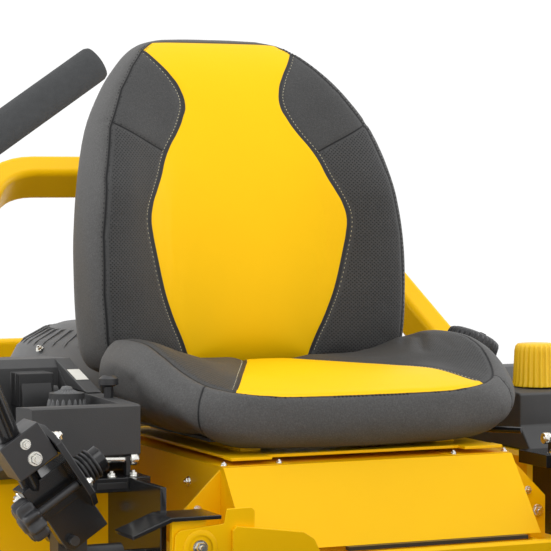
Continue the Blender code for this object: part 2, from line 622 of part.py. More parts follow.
def lever_base(label, side):
    """The plate on the frame's post slopes down outwards; a web from it holds the drive pin and a tray."""
    plate = [(0.256, 0.4540), (0.318, 0.4540), (0.368, 0.4350), (0.370, 0.4400), (0.320, 0.4590),
             (0.256, 0.4590)]
    base = place(f"lever_base_{label}", prism([(side * x, z) for x, z in plate], "y", -0.352, -0.290),
                 "black_paint")
    join(base, block((side * 0.306, -0.300, 0.376), (side * 0.314, -0.115, 0.4885)))
    join(base, block((side * 0.284, -0.190, 0.4705), (side * 0.385, -0.115, 0.4885)))
    join(base, rod((side * 0.312, LEVER_DRIVE_Y, LEVER_DRIVE_Z),
                   (side * 0.3925, LEVER_DRIVE_Y, LEVER_DRIVE_Z), 0.008, 12))


def control_arm(label, side):
    y, z = LEVER_DRIVE_Y, LEVER_DRIVE_Z
    arm = place(f"control_arm_{label}", rod((side * 0.345, y, z), (side * 0.396, y, z), 0.017, 16),
                "black_paint", (side * 0.37, y, z))
    join(arm, block((side * 0.3935, y - 0.016, z - 0.016), (side * 0.430, y + 0.016, LEVER_PIN_Z + 0.012)))
    join(arm, rod((side * LEVER_PIN_X, y - 0.050, LEVER_PIN_Z), (side * LEVER_PIN_X, y + 0.050, LEVER_PIN_Z),
                  0.006, 10))
    join(arm, block((side * 0.350, y - 0.006, 0.325), (side * 0.358, y + 0.006, z)))
    cut(arm, rod((side * 0.33, y, z), (side * 0.3935, y, z), bore_for(0.008, 12), 12))


def lap_bar(label, side):
    y = LEVER_DRIVE_Y
    s = side
    origin = (s * LEVER_PIN_X, y, LEVER_PIN_Z)
    path = bent(mirrored([(0.424, -0.262, 0.468), (0.418, -0.284, 0.560), (0.380, -0.400, 0.897),
                          (0.130, -0.400, 0.900)], s),
                0.055, 6)
    bar = place(f"lap_bar_{label}", swing(swept(path, round_section(LAP_TUBE_R), (0, 1, 0.2)), s),
                "black_paint", origin)
    plate = [(-0.318, 0.470), (-0.300, 0.452), (-0.225, 0.452), (-0.200, 0.480), (-0.205, 0.545),
             (-0.225, 0.566), (-0.290, 0.566), (-0.318, 0.545)]
    join(bar, swing(prism(plate, "x", *sorted((s * 0.372, s * 0.3805))), s))
    for low, high in ((y - 0.038, y - 0.019), (y + 0.019, y + 0.038)):
        join(bar, swing(block((s * 0.3735, low, 0.418), (s * 0.432, high, 0.473)), s))
    join(bar, swing(block((s * 0.3735, -0.284, 0.466), (s * 0.4395, -0.246, 0.515)), s))
    join(bar, swing(rod((s * 0.330, -0.262, 0.484), (s * 0.374, -0.262, 0.484), 0.017, 16), s))
    cut(bar, rod((origin[0], y - 0.06, origin[2]), (origin[0], y + 0.06, origin[2]), bore_for(0.006, 10), 10))
    ends = swung(mirrored([(0.322, -0.400, 0.8977), (0.114, -0.400, 0.9003)], s), s)
    sleeve = place(f"lap_grip_{label}", rod(ends[0], ends[1], GRIP_R, 16), "rubber", origin)
    bore = swung(mirrored([(0.331, -0.400, 0.8976), (0.1295, -0.400, 0.9001)], s), s)
    cut(sleeve, rod(bore[0], bore[1], bore_for(LAP_TUBE_R, 12), 12))
    stud = swung(mirrored([(0.3808, -0.302, 0.487), (0.441, -0.302, 0.487), (0.463, -0.302, 0.487)], s), s)
    knob = place(f"lever_knob_{label}", rod(stud[1], stud[2], 0.028, 16), "black_plastic", stud[0])
    join(knob, rod(stud[0], stud[1] + (stud[2] - stud[1]) * 0.2, 0.005, 10))


def panel_controls():
    """The dial for the cutting height, the blade switch, the throttle, the key and the filler cap."""
    x, y, z = DIAL
    place("height_dial", turned([(0, z), (0.035, z), (0.036, z + 0.006), (0.033, z + 0.055),
                                 (0.029, z + 0.060), (0, z + 0.060)],
                                "z", (x, y, 0), 24), "yellow_plastic", DIAL)
    top = 0.581
    place("pto_knob", turned([(0, top), (0.008, top), (0.008, top + 0.012), (0.019, top + 0.016),
                              (0.019, top + 0.028), (0.015, top + 0.032), (0, top + 0.032)], "z",
                             (-0.515, 0.020, 0), 16), "yellow_plastic",
          (-0.515, 0.020, top))
    lever = place("throttle_lever", rod((0.515, 0.020, 0.568), (0.515, 0.008, 0.608), 0.004, 10),
                  "black_plastic", (0.515, 0.020, 0.568))
    join(lever, block((0.504, -0.006, 0.600), (0.526, 0.020, 0.620)))
    key = place("ignition_key", block((0.4625, -0.0035, 0.575), (0.4875, 0.0035, 0.598)), "black_plastic",
                (0.475, 0.0, 0.568))
    join(key, rod((0.475, 0.0, 0.5665), (0.475, 0.0, 0.580), 0.007, 12))
    seat_point = Vector(CAP_SEAT)
    place("fuel_cap", rod(seat_point, seat_point + CAP_AXIS * 0.030, 0.041, 20, 0.038), "black_plastic",
          CAP_SEAT)


def lift_pedal():
    pivot = (-0.200, -0.520, 0.412)
    pedal = place("deck_lift_pedal", rod((-0.235, -0.520, 0.412), (-0.165, -0.520, 0.412), 0.010, 12),
                  "black_paint", pivot)
    join(pedal, swept([Vector((-0.2, -0.520, 0.412)), Vector((-0.2, -0.565, 0.424)),
                       Vector((-0.2, -0.610, 0.424))],
                      tube_section(0.024, 0.009, 0.002), (0, 0, 1)))
    join(pedal, block((-0.245, -0.642, 0.418), (-0.155, -0.598, 0.430), 0.003, 1))


# ---------------------------------------------------------------- seat
def seat():
    hinge = (0, SEAT_HINGE_Y, SEAT_HINGE_Z)
    plate = place("seat_hinge_plate", block((-0.190, -0.214, 0.5070), (0.190, 0.180, 0.5110)),
                  "yellow_paint", hinge)
    for side in (-1, 1):
        x = side * 0.165
        join(plate, block((x - 0.028, -0.232, 0.5070), (x + 0.028, -0.205, 0.5110)))
    for side in (-1, 1):
        x = side * 0.140
        join(plate, block((x - 0.014, -0.170, 0.5105), (x + 0.014, 0.150, 0.5190)))
    pan = place("seat_pan", block((-0.200, -0.180, 0.5265), (0.200, 0.160, 0.5305)), "black_paint",
                (0, 0, 0.52))
    for side in (-1, 1):
        x = side * 0.140
        join(pan, block((x - 0.017, -0.150, 0.5193), (x + 0.017, 0.130, 0.5270)))
    spine = [(0.140, 0.5265), (0.258, 0.5265), (0.2582, 0.700), (0.2690, 0.800), (0.2850, 0.880),
             (0.2790, 0.880), (0.2630, 0.800), (0.2522, 0.700), (0.2520, 0.5325), (0.140, 0.5305)]
    join(pan, prism(spine, "x", -0.060, 0.060))
    lever = [Vector((0.165, -0.130, 0.5205)), Vector((0.225, -0.130, 0.5205)),
             Vector((0.260, -0.165, 0.5205))]
    place("seat_slide_lever", swept(lever, round_section(0.0045, 8), (0, 0, 1)), "black_paint", lever[0])
    half = [(0.215, 0.5335), (0.262, 0.552), (0.277, 0.600), (0.262, 0.640), (0.235, 0.652), (0.205, 0.640),
            (0.160, 0.600)]
    section = half + [(-x, z) for x, z in reversed(half)]
    rings = [(-0.236, 0.66, 0.10, 0.45), (-0.228, 0.78, 0.18, 0.75), (-0.205, 0.88, 0.28, 0.92),
             (-0.150, 0.955, 0.55, 1), (-0.080, 1, 0.90, 1), (0.060, 1, 1, 1), (0.098, 0.985, 0.62, 0.80),
             (0.116, 0.95, 0.15, 0.30)]
    place("seat_cushion", pillow(section, 0.590, rings), "seat_vinyl")
    place("seat_back", seat_back_skin(), "seat_vinyl")


def seat_back_skin():
    """Level rings up the back: it curves rearwards as it rises, and its wings stand forward of the middle."""
    rings = []
    for z, half, grow in BACK_LEVELS:
        front = BACK_Y + BACK_CURVE * (z - BACK_LOW) ** 3
        wing = max(0.0, min(1.0, (1.045 - z) / 0.20))
        shape = [(0.0, 0.0), (0.45, -0.004), (0.80, -0.034 * wing), (0.95, -0.042 * wing),
                 (1.06, -0.020 * wing), (1.09, 0.020), (1.07, 0.060), (0.90, 0.085), (0.0, BACK_DEEP)]
        middle = BACK_DEEP / 2
        half_ring = [(w * half, front + middle + (d - middle) * grow) for w, d in shape]
        ring = half_ring + [(-x, y) for x, y in reversed(half_ring[1:-1])]
        rings.append([Vector((x, y, z)) for x, y in ring])
    return loft(rings)


# ---------------------------------------------------------------- build
for label_, side_ in SIDES:
    frame_rail(label_, side_)
    transaxle(label_, side_)
    rear_wheel(label_, side_)
    caster(label_, side_)
    lever_base(label_, side_)
    control_arm(label_, side_)
    lap_bar(label_, side_)
front_axle_beam()
rear_guard()
rear_hoop()
engine_plate()
floor_pan()
seat_box()
fenders()
engine()
deck()
spindles()
belts()
discharge_chute()
panel_controls()
lift_pedal()
seat()
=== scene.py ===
"""Zero turn mower: finishes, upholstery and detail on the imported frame.

Points are given in the machine's own directions (x to the operator's left, y rearwards, z up, ground at 0)
and are moved to the frame's place by ORIGIN. Lengths are in metres.
"""
import bisect
import math

import bmesh
import bpy
from mathutils import Matrix, Vector
from mathutils.bvhtree import BVHTree
from mathutils.kdtree import KDTree


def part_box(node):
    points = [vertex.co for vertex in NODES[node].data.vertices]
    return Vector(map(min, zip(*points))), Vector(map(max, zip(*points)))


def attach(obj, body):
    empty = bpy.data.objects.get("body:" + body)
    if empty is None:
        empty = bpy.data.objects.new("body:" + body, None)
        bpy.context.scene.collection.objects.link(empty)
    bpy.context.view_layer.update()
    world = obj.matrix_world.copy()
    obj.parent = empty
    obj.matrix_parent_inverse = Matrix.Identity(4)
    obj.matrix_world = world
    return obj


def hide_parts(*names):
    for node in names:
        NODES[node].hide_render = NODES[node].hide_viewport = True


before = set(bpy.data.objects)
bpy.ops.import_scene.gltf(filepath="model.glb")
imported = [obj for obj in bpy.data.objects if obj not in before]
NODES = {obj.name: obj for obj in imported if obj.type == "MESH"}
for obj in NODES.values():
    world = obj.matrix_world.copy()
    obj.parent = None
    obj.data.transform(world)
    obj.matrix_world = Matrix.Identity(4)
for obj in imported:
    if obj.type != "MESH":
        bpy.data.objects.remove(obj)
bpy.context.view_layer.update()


def middle(node):
    low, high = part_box(node)
    return (low + high) / 2


REAR_AXLE_Y = 0.420
ORIGIN = Vector((middle("seat_cushion").x, middle("rear_tyre_right").y - REAR_AXLE_Y, 0))
SIDES = (("right", -1), ("left", 1))
LEVER_PIN = Vector((0.420, 0, 0.430))
SWING_OUT = math.radians(34)


# ---------------------------------------------------------------- shader maths
class Socket:
    """A shader output that takes arithmetic; an expression adds its Math nodes."""

    def __init__(self, tree, link):
        self.tree, self.link = tree, link

    def math(self, operation, *values, clamp=False):
        made = self.tree.nodes.new("ShaderNodeMath")
        made.operation, made.use_clamp = operation, clamp
        for slot, value in zip(made.inputs, values):
            plug(self.tree, slot, value)
        return Socket(self.tree, made.outputs[0])

    def __add__(self, other): return self.math("ADD", self, other)
    def __radd__(self, other): return self.math("ADD", other, self)
    def __sub__(self, other): return self.math("SUBTRACT", self, other)
    def __rsub__(self, other): return self.math("SUBTRACT", other, self)
    def __mul__(self, other): return self.math("MULTIPLY", self, other)
    def __rmul__(self, other): return self.math("MULTIPLY", other, self)
    def __truediv__(self, other): return self.math("DIVIDE", self, other)
    def __abs__(self): return self.math("ABSOLUTE", self)
    def over(self, edge, soft=0.0005):
        """0 below the edge and 1 above it, with a soft step."""
        return self.math("MULTIPLY_ADD", self - edge, 0.5 / soft, 0.5, clamp=True)
    def under(self, edge, soft=0.0005): return 1 - self.over(edge, soft)


def plug(tree, slot, value):
    if isinstance(value, Socket):
        tree.links.new(value.link, slot)
    elif slot.type == "RGBA" and len(value) == 3:
        slot.default_value = (*value, 1)
    else:
        slot.default_value = value


class Finish:
    """One material: its nodes are added by name, and its constants go straight on the shader."""

    def __init__(self, name, **constants):
        self.material = bpy.data.materials.new(name)
        self.material.use_nodes = True
        self.tree = self.material.node_tree
        self.shader = self.tree.nodes["Principled BSDF"]
        self.set(**constants)
        self.where = self.node("ShaderNodeTexCoord", out="Object")

    def set(self, **values):
        for name, value in values.items():
            plug(self.tree, self.shader.inputs[name.replace("_", " ")], value)
        return self

    def node(self, kind, out=0, settings=None, **values):
        """Adds a node: its settings first, then its sockets by name, or by number as i0, i1."""
        made = self.tree.nodes.new(kind)
        for name, value in (settings or {}).items():
            setattr(made, name, value)
        for name, value in values.items():
            plug(self.tree, made.inputs[int(name[1:]) if name[0] == "i" and name[1:].isdigit() else name],
                 value)
        return Socket(self.tree, made.outputs[out])

    def noise(self, scale, detail=3.0, rough=0.5, stretch=None):
        where = self.node("ShaderNodeMapping", Vector=self.where, Scale=stretch) if stretch else self.where
        return self.node("ShaderNodeTexNoise", Vector=where, Scale=scale, Detail=detail, Roughness=rough)

    def cells(self, scale, feature="F1"):
        return self.node("ShaderNodeTexVoronoi", "Distance", {"feature": feature}, Vector=self.where,
                         Scale=scale)

    def mix(self, share, a, b):
        return self.node("ShaderNodeMix", 2, {"data_type": "RGBA"}, i0=share, i6=a, i7=b)

    def spread(self, colour, share, amount=0.12):
        """A colour that lightens and darkens a little over the surface."""
        dark = tuple(c * (1 - amount) for c in colour)
        light = tuple(min(1, c * (1 + amount)) for c in colour)
        return self.mix(share, dark, light)

    def bump(self, height, strength, distance=0.001):
        self.set(Normal=self.node("ShaderNodeBump", Height=height, Strength=strength, Distance=distance))
        return self

    def axis(self, letter):
        return self.node("ShaderNodeSeparateXYZ", letter, Vector=self.where)


def settled_dust(finish, colour, up_to=0.35):
    """Dry dust thins out with height and gathers in patches."""
    low = finish.node("ShaderNodeMapRange", settings={"clamp": True}, i0=finish.axis("Z"), i1=0.02, i2=up_to,
                      i3=0.22, i4=0.0)
    return finish.mix(low * finish.noise(14, 5), colour, (0.30, 0.26, 0.20))


def painted(name, colour, rough=0.30, peel=0.10, shine=0.5):
    """Powder coat: a slight orange peel, soft cloudiness and a clear skin."""
    f = Finish(name, Coat_Weight=0.06, Coat_Roughness=0.12, IOR=1.5, Specular_IOR_Level=shine)
    cloud = f.noise(7, 4)
    f.set(Base_Color=settled_dust(f, f.spread(colour, cloud, 0.06)), Roughness=rough + 0.10 * f.noise(38, 4))
    return f.bump(f.noise(620, 2), peel, 0.0006)


def moulded(name, colour, rough=0.52, grain=900, depth=0.22):
    """Moulded plastic with a fine leathery grain."""
    f = Finish(name)
    pits = f.cells(grain, "SMOOTH_F1")
    f.set(Base_Color=settled_dust(f, f.spread(colour, f.noise(22, 4), 0.14)),
          Roughness=rough + 0.14 * f.noise(60, 3))
    return f.bump(pits + 0.35 * f.noise(grain * 0.6, 3), depth, 0.0007)


def metal(name, colour, rough=0.28, streak=(1, 1, 1), depth=0.06):
    f = Finish(name, Metallic=1.0)
    lines = f.noise(260, 4, 0.6, streak)
    f.set(Base_Color=f.spread(colour, f.noise(45, 4), 0.10), Roughness=rough + 0.18 * lines)
    return f.bump(lines, depth, 0.0004)


YELLOW = (0.970, 0.535, 0.001)
yellow_paint = painted("yellow_powder_coat", YELLOW, shine=0.12)
gloss_black = painted("gloss_black_paint", (0.011, 0.011, 0.012), 0.14, 0.05)
satin_black = painted("satin_black_paint", (0.018, 0.018, 0.019), 0.34, 0.16)
console_plastic = moulded("console_plastic", (0.048, 0.048, 0.049), 0.50)
smooth_plastic = moulded("smooth_black_plastic", (0.022, 0.022, 0.024), 0.34, 1500, 0.10)
cover_plastic = moulded("grey_cover_plastic", (0.120, 0.122, 0.125), 0.50, 1100, 0.14)
yellow_plastic = moulded("yellow_dial_plastic", (0.97, 0.56, 0.003), 0.40, 1600, 0.06)
zinc = metal("zinc_plate", (0.78, 0.77, 0.72), 0.16)
cast = metal("cast_aluminium", (0.50, 0.50, 0.50), 0.42, depth=0.30)
blade_steel = metal("blade_steel", (0.42, 0.42, 0.43), 0.30, (1, 12, 1))
pale_sticker = moulded("plain_sticker", (0.72, 0.70, 0.64), 0.40, 1800, 0.03)
pale_thread = moulded("pale_thread", (0.62, 0.56, 0.38), 0.75, 2400, 0.30)
dark_thread = moulded("dark_thread", (0.010, 0.010, 0.011), 0.70, 2400, 0.30)


def rubber(name, colour, rough, grain, depth):
    f = Finish(name)
    f.set(Base_Color=settled_dust(f, f.spread(colour, f.noise(30, 5), 0.25)),
          Roughness=rough + 0.12 * f.noise(80, 3))
    return f.bump(f.noise(grain, 4), depth, 0.0008)


tyre_rubber = rubber("tyre_rubber", (0.022, 0.022, 0.022), 0.70, 500, 0.25)
belt_rubber = rubber("belt_rubber", (0.014, 0.014, 0.015), 0.62, 900, 0.35)
mat_rubber = rubber("mat_rubber", (0.026, 0.026, 0.027), 0.66, 700, 0.30)


def foam():
    f = Finish("grip_foam")
    cell = f.cells(1300)
    f.set(Base_Color=f.spread((0.056, 0.058, 0.060), f.noise(120, 4), 0.22), Roughness=0.86 + 0.10 * cell)
    return f.bump(cell + 0.6 * f.noise(900, 3), 0.55, 0.0008)


grip_foam = foam()


# ---------------------------------------------------------------- making pieces
def finished(obj, finish, body, replaces=(), slot=None):
    """Puts a material on a piece and lets it ride; a piece that stands for a CAD node hides that node."""
    obj.data.materials.clear()
    obj.data.materials.append(finish.material)
    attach(obj, body)
    if replaces:
        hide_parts(*replaces)
        slot = slot or f"mat_{replaces[0]}"
    return obj


def as_object(name, data):
    obj = bpy.data.objects.new(name, data)
    bpy.context.scene.collection.objects.link(obj)
    return obj


def settled(obj):
    """The mesh of an object with its modifiers applied; the object is removed."""
    bpy.context.view_layer.update()
    mesh = bpy.data.meshes.new_from_object(obj.evaluated_get(bpy.context.evaluated_depsgraph_get()))
    bpy.data.objects.remove(obj)
    return mesh


def add(obj, kind, **settings):
    modifier = obj.modifiers.new(kind.lower(), kind)
    for name, value in settings.items():
        setattr(modifier, name, value)
    return modifier


def bevelled(obj, width, segments, angle):
    add(obj, "BEVEL", width=width, segments=segments, limit_method="ANGLE", angle_limit=math.radians(angle),
        harden_normals=True)


def smooth_shaded(mesh, angle):
    mesh.shade_smooth()
    mesh.set_sharp_from_angle(angle=math.radians(angle))
    return mesh


def aimed(at, along):
    return Matrix.Translation(Vector(at)) @ Vector(along).to_track_quat("Z", "Y").to_matrix().to_4x4()


PLANES = {"x": (2, 0, 1), "y": (0, 2, 1), "z": (0, 1, 2)}     # where (first, second, level) go in x, y, z
BOLT = (([(0, 0.16), (1.05, 0.16), (1.15, 0), (0, 0)], 20),
        ([(0, 0.75), (0.75, 0.75), (0.86, 0.62), (0.86, 0.1), (0, 0.1)], 6),
        ([(0, 1.15), (0.40, 1.15), (0.44, 1.05), (0.44, 0.4), (0, 0.4)],
         10))   # (radius, height) by its size, and sides


def meshed(name, bm):
    """A mesh made from a bmesh, which is freed."""
    mesh = bpy.data.meshes.new(name)
    bm.to_mesh(mesh)
    bm.free()
    return mesh


def banded(bm, rings):
    """Faces between neighbouring rings of equal count; gives back the rings' corners."""
    loops = [[bm.verts.new(p) for p in ring] for ring in rings]
    for a, b in zip(loops, loops[1:]):
        for i in range(len(a)):
            j = (i + 1) % len(a)
            bm.faces.new((a[i], a[j], b[j], b[i]))
    return loops


class Work:
    """Gathers shells, in the machine's directions, into one piece."""

    def __init__(self, turn=None):
        self.bm, self.turn = bmesh.new(), turn

    def take(self, bm, matrix=None):
        bmesh.ops.recalc_face_normals(bm, faces=bm.faces)
        if matrix:
            bmesh.ops.transform(bm, verts=bm.verts, matrix=matrix)
        if self.turn:
            bmesh.ops.transform(bm, verts=bm.verts, matrix=self.turn)
        mesh = meshed("shell", bm)
        self.bm.from_mesh(mesh)
        bpy.data.meshes.remove(mesh)
        return self

    def box(self, low, high, matrix=None):
        low, high = Vector(low), Vector(high)
        bm = bmesh.new()
        bmesh.ops.create_cube(bm, size=1)
        bmesh.ops.scale(bm, verts=bm.verts, vec=[abs(b - a) for a, b in zip(low, high)])
        bmesh.ops.translate(bm, verts=bm.verts, vec=(low + high) / 2)
        return self.take(bm, matrix)

    def prism(self, outline, axis, low, high, matrix=None):
        """An outline, given in the two other directions, pushed from low to high along an axis."""
        order = PLANES[axis]
        rings = [[[(a, b, level)[k] for k in order] for a, b in outline] for level in (low, high)]
        return self.loft(rings, matrix)

    def loft(self, rings, matrix=None):
        """A closed skin over rings of equal count, flat at both ends."""
        bm = bmesh.new()
        loops = banded(bm, rings)
        bm.faces.new(loops[0])
        bm.faces.new(loops[-1])
        return self.take(bm, matrix)

    def turned(self, profile, at, along, steps=32):
        """Spins (radius, height) points, given from the top down, about a direction through a point."""
        mesh = bpy.data.meshes.new("profile")
        mesh.from_pydata([(r, 0, h) for r, h in profile], [(i, i + 1) for i in range(len(profile) - 1)], [])
        lathe = as_object("lathe", mesh)
        add(lathe, "SCREW", steps=steps, render_steps=steps, use_merge_vertices=True, merge_threshold=1e-5)
        bm = bmesh.new()
        bm.from_mesh(settled(lathe))
        bmesh.ops.remove_doubles(bm, verts=bm.verts, dist=1e-6)
        return self.take(bm, aimed(at, along))

    def rod(self, start, end, radius, steps=16, far=None):
        start, end = Vector(start), Vector(end)
        length = (end - start).length
        return self.turned([(0, length), (far or radius, length), (radius, 0), (0, 0)], start, end - start,
                           steps)

    def bolt(self, at, along, size):
        """A washer, a hex head and the end of its thread."""
        for profile, sides in BOLT:
            self.turned([(r * size, h * size) for r, h in profile], at, along, sides)
        return self

    def tube(self, points, radius, sides=8, closed=False):
        """A round tube along a smooth line through the points."""
        curve = bpy.data.curves.new("line", "CURVE")
        curve.dimensions, curve.use_fill_caps = "3D", True
        curve.bevel_depth, curve.bevel_resolution = radius, max(0, sides // 4)
        line = curve.splines.new("POLY")
        line.points.add(len(points) - 1)
        line.use_cyclic_u = closed
        for knot, point in zip(line.points, points):
            knot.co = (*point, 1)
        bm = bmesh.new()
        bm.from_mesh(settled(as_object("line", curve)))
        bmesh.ops.remove_doubles(bm, verts=bm.verts, dist=1e-6)
        return self.take(bm)

    def piece(self, name, finish, body, bevel=0.0, segments=2, replaces=(), slot=None, angle=38):
        """Moves the work to the frame's place and finishes it with a live stack."""
        bmesh.ops.translate(self.bm, verts=self.bm.verts, vec=ORIGIN)
        obj = as_object(name, smooth_shaded(meshed(name, self.bm), angle))
        if bevel:
            bevelled(obj, bevel, segments, angle)
        return finished(obj, finish, body, replaces, slot)


def eased(node, finish, body, bevel, segments=2, angle=30):
    """Stands for a CAD node: the same shape with its edges eased."""
    bm = bmesh.new()
    bm.from_mesh(NODES[node].data)
    bmesh.ops.remove_doubles(bm, verts=bm.verts, dist=1e-5)
    bmesh.ops.dissolve_limit(bm, angle_limit=math.radians(1), verts=bm.verts, edges=bm.edges)
    name = f"{node}_finish"
    obj = as_object(name, smooth_shaded(meshed(name, bm), angle))
    bevelled(obj, bevel, segments, angle)
    return finished(obj, finish, body, (node,))


def kept(node, finish):
    """A CAD node that stays, with its material."""
    for slot in NODES[node].material_slots:
        slot.material = finish.material


def rounded(points, count, closed=False):
    """A smooth line through the points, with count steps between each pair."""
    points = [Vector(p) for p in points]
    size = len(points)
    line = []
    for i in range(size if closed else size - 1):
        p0, p1, p2, p3 = (points[(i + k) % size] if closed else points[min(max(i + k, 0), size - 1)]
                          for k in (-1, 0, 1, 2))
        for step in range(count):
            t = step / count
            line.append(0.5 * ((2 * p1) + (p2 - p0) * t + (2 * p0 - 5 * p1 + 4 * p2 - p3) * t * t
                               + (3 * p1 - p0 - 3 * p2 + p3) * t ** 3))
    return line if closed else line + [points[-1]]


def bent(points, radius, steps=8):
    """A line of straight runs whose corners are arcs of one radius."""
    points = [Vector(p) for p in points]
    path = [points[0]]
    for before, corner, after in zip(points, points[1:], points[2:]):
        u, v = (before - corner).normalized(), (after - corner).normalized()
        half = u.angle(v) / 2
        centre = corner + (u + v).normalized() * (radius / math.sin(half))
        a, b = corner + u * (radius / math.tan(half)) - centre, corner + v * (radius
                                                                              / math.tan(half)) - centre
        path += [centre + a.slerp(b, i / steps) * radius for i in range(steps + 1)]
    return path + [points[-1]]


def swing(side):
    """Turns lap-bar work from the driving position out to where the bar is stored."""
    pin = Matrix.Translation((side * LEVER_PIN.x, 0, LEVER_PIN.z))
    return pin @ Matrix.Rotation(side * SWING_OUT, 4, "Y") @ pin.inverted()


def smoothstep(low, high, value):
    t = max(0.0, min(1.0, (value - low) / (high - low)))
    return t * t * (3 - 2 * t)


# ---------------------------------------------------------------- camera, light and floor
camera_data = bpy.data.cameras.new("camera")
camera_data.lens, camera_data.sensor_width, camera_data.clip_end = 156.8, 36, 60
camera = as_object("camera", camera_data)
camera.location = ORIGIN + Vector((-1.354, -2.975, 0.857))
camera.rotation_euler = (math.radians(90 - 2.27), 0, math.radians(-24))
bpy.context.scene.camera = camera

world = bpy.data.worlds.new("studio")
world.use_nodes = True
world.node_tree.nodes["Background"].inputs["Color"].default_value = (1, 1, 1, 1)
world.node_tree.nodes["Background"].inputs["Strength"].default_value = 1.06
bpy.context.scene.world = world
bpy.context.scene.view_settings.view_transform = "Standard"     # keeps the yellow as strong as the paint is


def softbox(name, at, size, power):
    lamp = bpy.data.lights.new(name, "AREA")
    lamp.shape, lamp.size, lamp.size_y, lamp.energy = "RECTANGLE", size[0], size[1], power
    obj = as_object(name, lamp)
    obj.location = ORIGIN + Vector(at)
    obj.rotation_euler = (ORIGIN + Vector((0, 0, 0.5)) - obj.location).to_track_quat("-Z", "Y").to_euler()


softbox("key_softbox", (-1.0, -3.0, 3.6), (2.2, 1.6), 20)
softbox("top_softbox", (0.6, 0.4, 4.0), (3.0, 2.0), 12)
softbox("edge_softbox", (3.2, -0.6, 2.0), (1.2, 2.2), 30)
softbox("rear_softbox", (-3.0, 1.6, 2.2), (1.6, 1.6), 30)

floor_work = Work().box((-2.2, -2.4, -0.02), (2.2, 2.4, -0.0005))
bmesh.ops.translate(floor_work.bm, verts=floor_work.bm.verts, vec=ORIGIN)
floor = as_object("floor", meshed("floor", floor_work.bm))
floor_finish = Finish("pale_floor", Roughness=0.85)
floor_finish.set(Base_Color=floor_finish.spread((0.86, 0.86, 0.86), floor_finish.noise(0.6, 2), 0.01))
floor.data.materials.append(floor_finish.material)


# ---------------------------------------------------------------- upholstery
class Outline:
    """Half the width of a sewn-in panel along one axis, shared by its material and its stitching."""

    def __init__(self, axis, points):
        self.axis = axis
        self.low, self.high = points[0][0], points[-1][0]
        self.line = [(p.x, p.y) for p in rounded([(a, w, 0) for a, w in points], 6)]
        self.wide = max(w for _, w in self.line) * 1.05

    def width(self, place):
        for (a, wa), (b, wb) in zip(self.line, self.line[1:]):
            if place <= b:
                return wa + (wb - wa) * max(0.0, place - a) / max(1e-9, b - a)
        return self.line[-1][1]

    def shaded(self, finish, start):
        made = finish.tree.nodes.new("ShaderNodeFloatCurve")
        span, curve = self.high - self.low, made.mapping.curves[0]
        samples = 24
        for i in range(1, samples):
            curve.points.new(i / samples, self.width(self.low + span * i / samples) / self.wide)
        curve.points[0].location = (0, self.width(self.low) / self.wide)
        curve.points[-1].location = (1, self.width(self.high) / self.wide)
        made.mapping.update()
        plug(finish.tree, made.inputs["Value"], (finish.axis(self.axis) - (start + self.low)) / span)
        return Socket(finish.tree, made.outputs[0]) * self.wide


BACK_PANEL = Outline("Z", [(0.575, 0.082), (0.600, 0.090), (0.630, 0.101), (0.660, 0.115), (0.700, 0.130),
                           (0.745, 0.141), (0.790, 0.150), (0.815, 0.149), (0.840, 0.139), (0.865, 0.127),
                           (0.896, 0.114), (0.935, 0.087), (0.970, 0.0735), (1.000, 0.083), (1.025, 0.100),
                           (1.070, 0.135)])
CUSHION_PANEL = Outline("Y", [(-0.245, 0.200), (-0.220, 0.184), (-0.190, 0.165), (-0.150, 0.143),
                              (-0.100, 0.119), (-0.050, 0.096), (0.000, 0.073), (0.050, 0.050),
                              (0.100, 0.029), (0.130, 0.018)])
WELT = 0.0055                 # the smooth rolled strip beside a panel
THREAD = 0.0078               # the row of stitches beyond it


